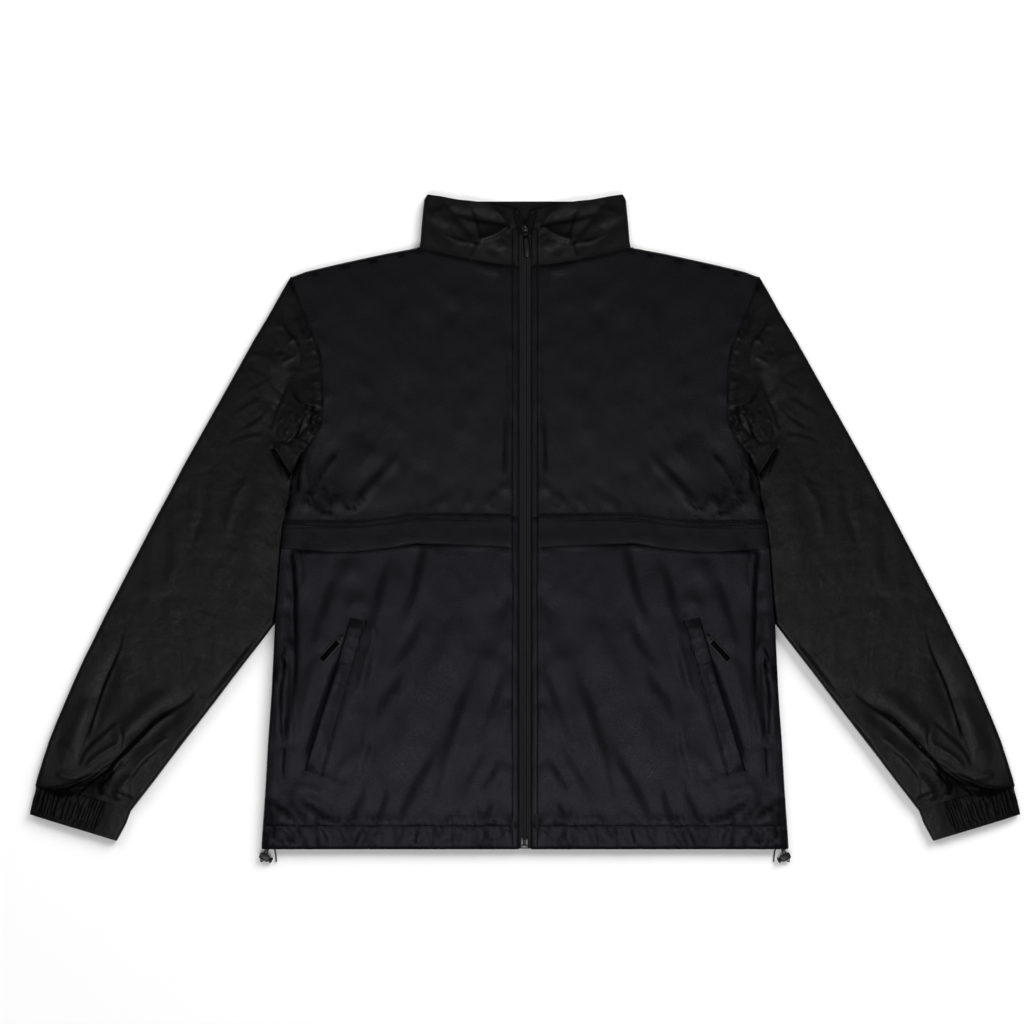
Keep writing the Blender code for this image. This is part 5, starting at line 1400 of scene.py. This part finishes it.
pocket = {
    "welt": [(174.3, 617), (157, 620.7), (201, 775.7), (220.3, 770)],
    "long": 0.181,
    "wide": 0.0205,
    "thick": 0.0009,
    "free": 0.0026,  # height of the opening edge above the panel
    "sewn": 0.0007,
    "edgeRow": 0.0021,  # row of stitches along the sewn edge
    "endRows": (0.0012, 0.0034),
    "seed": 41,
    "bumps": (0.12, 0.3, 0.36, 0.43, 0.62, 0.78, 0.9),  # places along the welt
    "bumpHigh": (0.08, 0.28),  # millimetres
    "bumpHalf": 0.0022,
    "rolled": 0.0009,  # width over which its long edges turn down
    "pullTurn": math.radians(42.4),
    "pullTilt": math.radians(3.6),
}


def weltRows():  # double rows at both ends of a welt and one along its sewn edge
    a, b, c, d = draft(pocket["welt"])[[1, 0, 3, 2]]
    rows = []
    for end, other, way in ((a, b, c - b), (d, c, b - c)):
        way = way / np.hypot(*way)
        short = (other - end) * np.array([[0.06], [-0.06]])  # keeps clear of the corners
        rows += [np.array([end, other]) + way * step + short for step in pocket["endRows"]]
    side = (b - a) / np.hypot(*(b - a))
    rows.append(np.array([a, d]) + side * pocket["edgeRow"])
    return rows


rows = [onCloth(stitchRows["placket"], 0.0001), onCloth(stitchRows["hem"], 0.0001)]
for name, high in (("flapTop", 0.0005), ("flapSecond", 0.0006)):
    course = stitchRows[name]
    rows.append(onCloth(course[course[:, 0] < sewing["flapRowEnds"]], high))
rows += [onCloth(away(armhole, step)[6:-4], 0.0) for step in sewing["armholeRows"]]
rows.append(onCloth(away(neckLine, -sewing["neckRow"])[2:-3], 0.0))
rows.append(onCloth(draft(sewing["collarBox"]), 0.0001))
rows += [onCloth(row, pocket["sewn"] + 0.0013) for row in weltRows()]
for seed, (side, hand) in enumerate(hands):
    courses = [row * (hand, 1, 1) for row in rows]
    runPieces(f"stitches.{side}", courses, blackThread, Seed=seed, **sewing["thread"])
print("stitches made")

# ---- small hard pieces ----
def prism(outline2d, low, high, bevel=0.0, steps=2):  # a solid from a plan outline, with eased edges
    work = bmesh.new()
    face = work.faces.new([work.verts.new((x, y, low)) for x, y in outline2d])
    risen = bmesh.ops.extrude_face_region(work, geom=[face])
    top = [g for g in risen["geom"] if isinstance(g, bmesh.types.BMVert)]
    bmesh.ops.translate(work, vec=(0, 0, high - low), verts=top)
    bmesh.ops.recalc_face_normals(work, faces=work.faces)
    if bevel:
        sharp = [e for e in work.edges if e.calc_face_angle() > math.radians(25)]
        bmesh.ops.bevel(
            work, geom=sharp, offset=bevel, segments=steps, profile=0.5, affect="EDGES", clamp_overlap=True,
        )
    return work


def block(x, y, z, bevel=0.0):
    return prism([(x[0], y[0]), (x[1], y[0]), (x[1], y[1]), (x[0], y[1])], z[0], z[1], bevel)


def gripBars(half, run, pitch, wide, z):  # low bars across a pull
    return [block((-half, half), (y, y + wide), z, 0.0001) for y in np.arange(*run, pitch)]


def roundedBox(wide, long, corner, centre=(0, 0), steps=4):
    found = []
    for k, (sx, sy) in enumerate([(1, 1), (-1, 1), (-1, -1), (1, -1)]):
        for s in range(steps + 1):
            angle = math.pi / 2 * (k + s / steps)
            found.append((
                centre[0] + sx * (wide / 2 - corner) + corner * math.cos(angle),
                centre[1] + sy * (long / 2 - corner) + corner * math.sin(angle),
            ))
    return found


def rod(start, end, radius, sides=14, bevel=0.0):
    start, end = Vector(start), Vector(end)
    work = prism(
        [(radius * math.cos(a), radius * math.sin(a)) for a in np.linspace(0, 2 * math.pi, sides + 1)[:-1]],
        0, (end - start).length, bevel, 1,
    )
    turn = Vector((0, 0, 1)).rotation_difference(end - start).to_matrix().to_4x4()
    bmesh.ops.transform(work, matrix=Matrix.Translation(start) @ turn, verts=work.verts)
    return work


def wireLoop(corners, radius, sides=8):  # a closed ring of round wire through flat points
    line = np.array([(*c, 0.0) for c in corners])
    count = len(line)
    work = bmesh.new()
    loops = []
    for k in range(count):
        run = line[(k + 1) % count] - line[k - 1]
        out = np.array((run[1], -run[0], 0)) / np.linalg.norm(run)
        loops.append([
            work.verts.new(line[k] + radius * (math.cos(a) * out + math.sin(a) * np.array((0, 0, 1))))
            for a in np.linspace(0, 2 * math.pi, sides + 1)[:-1]
        ])
    for k in range(count):
        here, ahead = loops[k], loops[(k + 1) % count]
        for n in range(sides):
            m = (n + 1) % sides
            work.faces.new((here[n], here[m], ahead[m], ahead[n]))
    bmesh.ops.recalc_face_normals(work, faces=work.faces)
    return work


def assemble(name, parts, where, materials):  # joins solids or (solid, material index) pairs and places them
    mesh = bpy.data.meshes.new(name)
    whole = bmesh.new()
    for work in parts:
        index = 0
        if isinstance(work, tuple):
            work, index = work
        for face in work.faces:
            face.material_index = index
        piece = bpy.data.meshes.new("piece")
        work.to_mesh(piece)
        whole.from_mesh(piece)
        work.free()
        bpy.data.meshes.remove(piece)
    bmesh.ops.transform(whole, matrix=where, verts=whole.verts)
    whole.to_mesh(mesh)
    whole.free()
    for paint in materials:
        mesh.materials.append(paint)
    shadeSmooth(mesh, 35)
    return linked(name, mesh)


def placed(spot, heading=0.0, tilt=0.0):
    return Matrix.Translation(Vector(spot)) @ Matrix.Rotation(heading, 4, "Z") @ Matrix.Rotation(tilt, 4, "X")


# ---- front zip ----
zipper = {
    "closed": (848.2, 240, 170),  # drops of a tape's first and last row, and how many rows
    "parted": (238, 210, 24),
    "opens": 232.0,
    "topDrop": 209.5,
    "spread": 5.9,  # drafting units that each tape stands off at the very top
    "gap": 0.00015,
    "tapeThick": 0.0007,
    "lip": 0.00035,  # the tape's inner edge turns down by this
    "coilHigh": 0.00055,
    "columns": [  # distances from the inner edge, and the share of the coil's height there
        (0.00015, 0.0), (0.0005, 0.3), (0.0011, 0.8), (0.0019, 1.0), (0.0027, 0.8), (0.0032, 0.3),
        (0.0036, 0.0), (0.0046, 0.0), (0.0056, 0.0), (0.0066, 0.0), (0.0076, 0.0), (0.010, 0.0), (0.01596, 0.0),
    ],
    "underFront": 0.00155,  # depth of the tapes under the fronts' outer face
    "collarEnds": (268, 286),  # drops over which their depth changes from the collar's to the fronts'
    "tooth": {
        "Pitch": 0.0019, "Length": 0.0009, "Width": 0.0017, "Height": 0.0009, "Unevenness": 0.05, "Sides": 8,
    },
    "toothSlant": 0.25,
    "toothOut": 0.0004,
    "ringOff": 0.0004,  # the ring hangs this far to one side of the zip's middle
    "hingeHigh": 0.0026,  # height of the ring's hinge over the tapes
    "pullTurn": math.radians(4),
    "pullTilt": math.radians(2.6),
    "slider": [
        (-0.0036, 0.0026), (0.0036, 0.0026), (0.0040, 0.0018), (0.0040, -0.0008), (0.0029, -0.0056),
        (-0.0029, -0.0056), (-0.0040, -0.0008), (-0.0040, 0.0018),
    ],
    "sliderLow": -0.00225,  # underside of its upper plate, from the hinge
    "tab": [
        (-0.0016, -0.0095), (-0.0016, -0.0108), (-0.0036, -0.0122), (-0.0036, -0.0325), (-0.0028, -0.0345),
        (-0.0012, -0.0354), (0.0012, -0.0354), (0.0028, -0.0345), (0.0036, -0.0325), (0.0036, -0.0122),
        (0.0016, -0.0108), (0.0016, -0.0095),
    ],
    "stop": (7.6, 212.5),
    "box": (0, 842.4),
}
hinges = {joint["name"]: Vector(joint["pos_m"]) for joint in frame["joints"]}
hinge = hinges["zip_ring_swing"] - Vector((zipper["ringOff"], 0, 0))
sliderLevel = hinge.z - zipper["hingeHigh"]
underCollar = float(swell(np.array([(0.0005, hinge.y - 0.0016)]))[0]) - sliderLevel


def tapeLevel(points):  # upper face of the zip tapes
    return swell(points) - np.interp(dropOf(points), zipper["collarEnds"], (underCollar, zipper["underFront"]))


drops = np.concatenate([np.linspace(*zipper["closed"]), np.linspace(*zipper["parted"])])
parting = eased((zipper["opens"] - drops) / (zipper["opens"] - zipper["topDrop"]))
spread = parting * zipper["spread"] * drafting["unit"]
columns = np.array([(0.0, 0.0), *zipper["columns"]])
bulge = columns[:, 1] * zipper["coilHigh"]
bulge[0] = -zipper["lip"]
plan = np.zeros((len(drops), len(columns), 2))
plan[..., 0] = columns[:, 0] + (spread + zipper["gap"])[:, None]
plan[..., 1] = ((drafting["middleDrop"] - drops) * drafting["unit"])[:, None]
height = tapeLevel(plan.reshape(-1, 2)).reshape(plan.shape[:2]) + bulge
grid = np.concatenate([plan, height[..., None]], 2)
opening = draft([(0, zipper["opens"] + 2)])[0, 1]
coil = np.column_stack([plan[:, 0], height[:, 0]]) + (zipper["toothOut"], 0, 0)
for side, hand in hands:
    tape = makeShell(f"zipTape.{side}", grid[::-1], zipper["tapeThick"], hand)
    dress(tape, zipTape, [f"zip_tape_{side}"])
    # the tape above the opening takes the darker copy, as painted shade
    repaint(tape, zipTapeShaded, lambda centres: centres[:, 1] > opening)
    runPieces(
        f"zipTeeth.{side}", [coil * (hand, 1, 1)], zipCoil, "zip_tape",
        Slant=zipper["toothSlant"] * hand, **zipper["tooth"],
    )

low = zipper["sliderLow"]
slider = assemble("zipSlider", [
    prism(zipper["slider"], low, low + 0.0014, 0.00035),
    prism(zipper["slider"], low - 0.0028, low - 0.0017, 0.0003),
    block((-0.0008, 0.0008), (-0.0004, 0.0022), (low - 0.0020, low + 0.0006), 0.0001),
    (block((-0.0009, 0.0009), (0.0009, 0.0018), (low + 0.0009, 0.0010), 0.0002), 1),
    (block((-0.0009, 0.0009), (-0.0018, -0.0009), (low + 0.0009, 0.0010), 0.0002), 1),
    (block((-0.0009, 0.0009), (-0.0018, 0.0018), (0.00085, 0.0018), 0.0003), 1),
], placed(hinge), [darkMetal, zipMetal])
hardware(slider, ["zip_slider"])
pullPlace = placed(hinge + Vector((zipper["ringOff"], 0, 0)), zipper["pullTurn"], zipper["pullTilt"])
loop = wireLoop(roundedBox(0.0050, 0.0086, 0.0014, (0, -0.0043), 5), 0.00055)
ring = assemble("zipRing", [loop], pullPlace, [darkMetal])
hardware(ring, ["zip_ring"], "zip_ring")
# The tab's lighter face is drawn smaller than the tab, so that a rim of the near-black rubber shows all round
# it: a painted shadow along the tab's edges.
tabFace = [(x * 0.72, -0.0132 + (y + 0.0122) * 0.94) for x, y in zipper["tab"][2:10]]
tab = assemble("zipTab", [
    (prism(zipper["tab"], -0.00045, 0.00045, 0.0003), 1),
    prism(tabFace, 0.0003, 0.0006, 0.0001),
    rod((-0.0017, -0.0086, 0), (0.0017, -0.0086, 0), 0.0013, 14, 0.0002),
    block((-0.0015, 0.0015), (-0.0102, -0.0088), (-0.0006, 0.0006), 0.0002),
    *gripBars(0.0022, (-0.0315, -0.0150), 0.0017, 0.0007, (0.0003, 0.0007)),
], pullPlace, [darkPlastic, pullRubberAndShadow])
hardware(tab, ["zip_tab"], "zip_tab")

stopSpot, boxSpot = draft([zipper["stop"], zipper["box"]])
for side, hand in hands:
    where = placed((hand * stopSpot[0], stopSpot[1], sliderLevel))
    stop = assemble(f"zipStop.{side}", [prism(roundedBox(0.0018, 0.0034, 0.0006), 0.0003, 0.0016, 0.0003)],
                    where, [darkMetal])
    hardware(stop, [f"zip_stop_{side}"])
boxLevel = float(tapeLevel(boxSpot[None])[0])
retainer = assemble("zipBox", [
    block((-0.0051, 0.0035), (-0.0061, -0.0022), (0.0003, 0.0021), 0.0004),
    block((-0.0047, -0.0018), (-0.0024, 0.0061), (0.0003, 0.0016), 0.0003),
    block((0.0006, 0.0033), (-0.0024, 0.0052), (0.0003, 0.0018), 0.0003),
    block((-0.0016, 0.0004), (-0.0010, 0.0004), (0.0003, 0.0014), 0.0002),
    block((-0.0016, 0.0004), (0.0018, 0.0030), (0.0003, 0.0013), 0.0002),
], placed((*boxSpot, boxLevel)), [zipMetal])
hardware(retainer, ["zip_box"])
print("front zip made")

# ---- slanted pockets ----
weltLine = draft(pocket["welt"])
inner, outer = weltLine[[1, 2]], weltLine[[0, 3]]
run = (outer[1] - outer[0]) / np.hypot(*(outer[1] - outer[0]))
sideways = np.array((-run[1], run[0]))


def between(first, last, across, rows):  # plan of a band between two lines
    u = across[None, :, None]
    return (1 - u) * along(first, rows)[:, None] + u * along(last, rows)[:, None]


def onPanel(plan, raised):  # a plan grid at a height over the panel
    height = swell(plan.reshape(-1, 2)).reshape(plan.shape[:2]) + raised
    return np.concatenate([plan, height[..., None]], 2)


rows = spaced(pocket["long"], 0.0013, (0, 0.0005), (0, 0.0005))
across = spaced(pocket["wide"], 0.0011, (0, 0.0004), (0, 0.0003, 0.0008))
ends = np.minimum(rows, 1 - rows)[:, None] * pocket["long"]
stands = (pocket["free"] - pocket["sewn"]) * eased(across / 0.7)[None] * eased(ends / 0.012)
chance = np.random.default_rng(pocket["seed"])
bumps = 0
for at in pocket["bumps"]:
    bump = np.exp(-(((rows - at) * pocket["long"] / pocket["bumpHalf"]) ** 2))[:, None]
    bumps = bumps + chance.uniform(*pocket["bumpHigh"]) / 1000 * bump * np.sin(across * math.pi)[None]
groove = 0.0006 * np.exp(-(((across - 0.1) * pocket["wide"] / 0.0009) ** 2))[None]  # pressed in by the stitches
roll = np.clip(np.minimum(across, 1 - across) * pocket["wide"] / pocket["rolled"], 0, 1)
turned = 0.0005 * (1 - np.sqrt(1 - (1 - roll) ** 2))[None]
rise = pocket["sewn"] + stands + bumps - groove - turned
welt = onPanel(between(inner, outer, across, rows), rise + pocket["thick"])
lip = np.array([outer[0] + 0.004 * run, outer[1] - 0.004 * run])
near, far = lip - 0.008 * sideways, lip + 0.0014 * sideways
strip = onPanel(between(near, far, np.linspace(0, 1, 9), np.linspace(0, 1, 90)), 0.0010)
low = -0.0025  # underside of the slider's plate, from the hinge
pullPlan = [
    (-0.0036, -0.0050), (-0.0036, -0.0340), (-0.0028, -0.0350),
    (0.0028, -0.0350), (0.0036, -0.0340), (0.0036, -0.0050),
]
pullRims = [  # x, y and half height of the blocks that frame the pull
    ((-0.0041, -0.0029), (-0.0345, -0.0040), 0.0008),
    ((0.0029, 0.0041), (-0.0345, -0.0040), 0.0008),
    ((-0.0038, 0.0038), (-0.0352, -0.0342), 0.0008),
    ((-0.0034, 0.0034), (-0.0060, -0.0038), 0.0008),
    ((-0.0034, -0.0021), (-0.0045, 0.0006), 0.0008),
    ((0.0021, 0.0034), (-0.0045, 0.0006), 0.0008),
    ((-0.0030, 0.0030), (-0.0006, 0.0006), 0.0007),
]
for side, hand in hands:
    band = makeShell(f"pocketWelt.{side}", welt[:, ::-1], pocket["thick"], hand,
                     stitches=[away(inner, -pocket["edgeRow"])])
    dress(band, nylonBody, [f"pocket_welt_{side}"])
    tape = makeShell(f"pocketZip.{side}", strip[:, ::-1], zipper["tapeThick"], hand)
    dress(tape, zipTape, [f"pocket_zip_{side}"])

    spot = hinges[f"pocket_pull_swing_{side}"]
    slider = assemble(f"pocketSlider.{side}", [
        prism(roundedBox(0.0042, 0.0080, 0.0014), low, low + 0.0011, 0.0003),
        block((-0.0007, 0.0007), (0.0014, 0.0023), (low + 0.0006, 0.0016), 0.0002),
        block((-0.0007, 0.0007), (-0.0023, -0.0014), (low + 0.0006, 0.0016), 0.0002),
        block((-0.0007, 0.0007), (-0.0023, 0.0023), (0.0014, 0.0023), 0.0003),
    ], placed(spot, math.atan2(run[0], -run[1]) * hand), [darkMetal])
    hardware(slider, [f"pocket_slider_{side}"])
    pull = assemble(f"pocketPull.{side}", [
        prism(pullPlan, -0.0005, 0.0003, 0.0002),
        *((block(x, y, (-tall, tall), 0.0003), 1) for x, y, tall in pullRims),
        *gripBars(0.0028, (-0.0320, -0.0070), 0.0018, 0.0008, (0.0002, 0.0006)),
    ], placed(spot, hand * pocket["pullTurn"], pocket["pullTilt"]), [pullRubberAndShadow, pullRim])
    hardware(pull, [f"pocket_pull_{side}"], f"pocket_pull_{side}")
print("pockets made")

# ---- drawcord ends and their locks ----
cordEnd = {
    "knots": [  # out and drop in drafting units, height in millimetres
        (256.5, 838, 2.6), (256.8, 844, 2.6), (258.4, 849.5, 2.9), (261.0, 853.1, 3.5), (262.6, 856, 3.5),
        (264.2, 859.1, 3.5), (264.2, 862.0, 3.5), (261.8, 860.4, 3.5), (260.2, 857.4, 3.5),
        (258.6, 854.4, 3.6), (257.0, 850, 3.0), (255.4, 845.5, 2.6), (253.4, 843.6, 2.5),
        (251.6, 845.5, 2.5), (250.6, 850, 2.4), (249.6, 856, 1.7), (249.2, 862.5, 0.9),
    ],
    "length": 0.0777,
    "diameter": 0.0016,
    "leaves": (0.2937, -0.3713, 0.0029),  # where it comes out of the casing
    "lock": (259.2, 857.9),
    "lockHigh": 0.0035,  # half its thickness
    "lockTurn": math.radians(28),
}
knots = np.array(cordEnd["knots"])
course = rounded(np.column_stack([draft(knots[:, :2]), knots[:, 2] / 1000]), 3)
lockSpot, lockHigh = draft([cordEnd["lock"]])[0], cordEnd["lockHigh"]
for side, hand in hands:
    path = bpy.data.curves.new(f"drawcord.{side}", "CURVE")
    path.dimensions = "3D"
    path.bevel_depth = cordEnd["diameter"] / 2
    path.bevel_resolution = 4
    path.use_fill_caps = True
    spline = path.splines.new("POLY")
    spline.points.add(len(course) - 1)
    for point, spot in zip(spline.points, course * (hand, 1, 1)):
        point.co = (*spot, 1)
    drawcord = linked(f"drawcord.{side}", path)
    path.materials.append(cordBraid)
    hardware(drawcord, [f"drawcord_{side}"])
    lock = assemble(f"cordLock.{side}", [
        prism(roundedBox(0.0122, 0.0078, 0.0026, (hand * 0.0017, 0), 5), -lockHigh, lockHigh, 0.0011),
        rod((-hand * 0.0036, 0, 0), (-hand * 0.0052, 0, 0), 0.0026, 16, 0.0003),
        rod((-hand * 0.0050, 0, 0), (-hand * 0.0079, 0, 0), 0.0034, 18, 0.0009),
    ], placed((hand * lockSpot[0], lockSpot[1], lockHigh), cordEnd["lockTurn"] * hand), [lockPlastic])
    hardware(lock, [f"cord_lock_{side}"])
print("drawcords made")

# ---- floor, light and camera ----
studio = {
    "frameWide": 1.16736,  # metres across the picture at the cloth
    "lens": 85.0,
    "sensor": 36.0,
    "aim": (-0.01482, 0.01112, 0.006),
    "floor": (0.88, 0.88, 0.88),
    "floorHalf": 9,
    "floorLevel": -0.0004,
    "fill": 0.07,  # strength of the even light from all round
}
half, level = studio["floorHalf"], studio["floorLevel"]
mesh = bpy.data.meshes.new("floor")
mesh.from_pydata([(x, y, level) for x, y in ((-half, -half), (half, -half), (half, half), (-half, half))], [],
                 [(0, 1, 2, 3)])
floor = linked("floor", mesh)
floorPaint = Paint("paleFloor", Base_Color=(*studio["floor"], 1), Roughness=0.9, Specular_IOR_Level=0.1)
mesh.materials.append(floorPaint.material)

world = bpy.data.worlds.new("studio")
bpy.context.scene.world = world
world.use_nodes = True
sky = world.node_tree.nodes["Background"].inputs
sky["Color"].default_value = (1, 1, 1, 1)
sky["Strength"].default_value = studio["fill"]


def softbox(name, azimuth, elevation, size, floorShare, reach=5.5, sheen=False):
    # floorShare: its part of a white floor's brightness; a sheen box is seen only in the cloth's gloss
    azimuth, elevation = math.radians(azimuth), math.radians(elevation)
    light = bpy.data.lights.new(name, "AREA")
    light.shape = "RECTANGLE"
    light.size, light.size_y = size
    rise, flat = math.sin(elevation), math.cos(elevation) * reach
    light.energy = floorShare * math.pi**2 * reach**2 / (studio["floor"][0] * rise)
    lamp = linked(name, light)
    lamp.visible_diffuse = not sheen
    lamp.visible_glossy = sheen
    lamp.location = (flat * math.cos(azimuth), flat * math.sin(azimuth), rise * reach)
    lamp.rotation_euler = (-lamp.location).to_track_quat("-Z", "Y").to_euler()


softbox("keyLight", 52, 36, (3.5, 3.1), 0.58)
softbox("leftLight", 128, 40, (3.1, 2.7), 0.20)
softbox("hemLight", -90, 62, (3.3, 2.2), 0.36)
softbox("sheenAbove", -90, 71, (1.9, 1.5), 0.30, 3.4, True)
softbox("sheenLeft", 165, 48, (1.6, 1.2), 0.02, 3.4, True)
softbox("sheenRight", 15, 48, (1.6, 1.2), 0.02, 3.4, True)
camera = linked("camera", bpy.data.cameras.new("camera"))
camera.data.lens = studio["lens"]
camera.data.sensor_width = studio["sensor"]
distance = studio["frameWide"] / 2 / (studio["sensor"] / 2 / studio["lens"])
camera.location = Vector(studio["aim"]) + Vector((0, 0, distance))
bpy.context.scene.camera = camera
bpy.context.scene.view_settings.view_transform = "Standard"
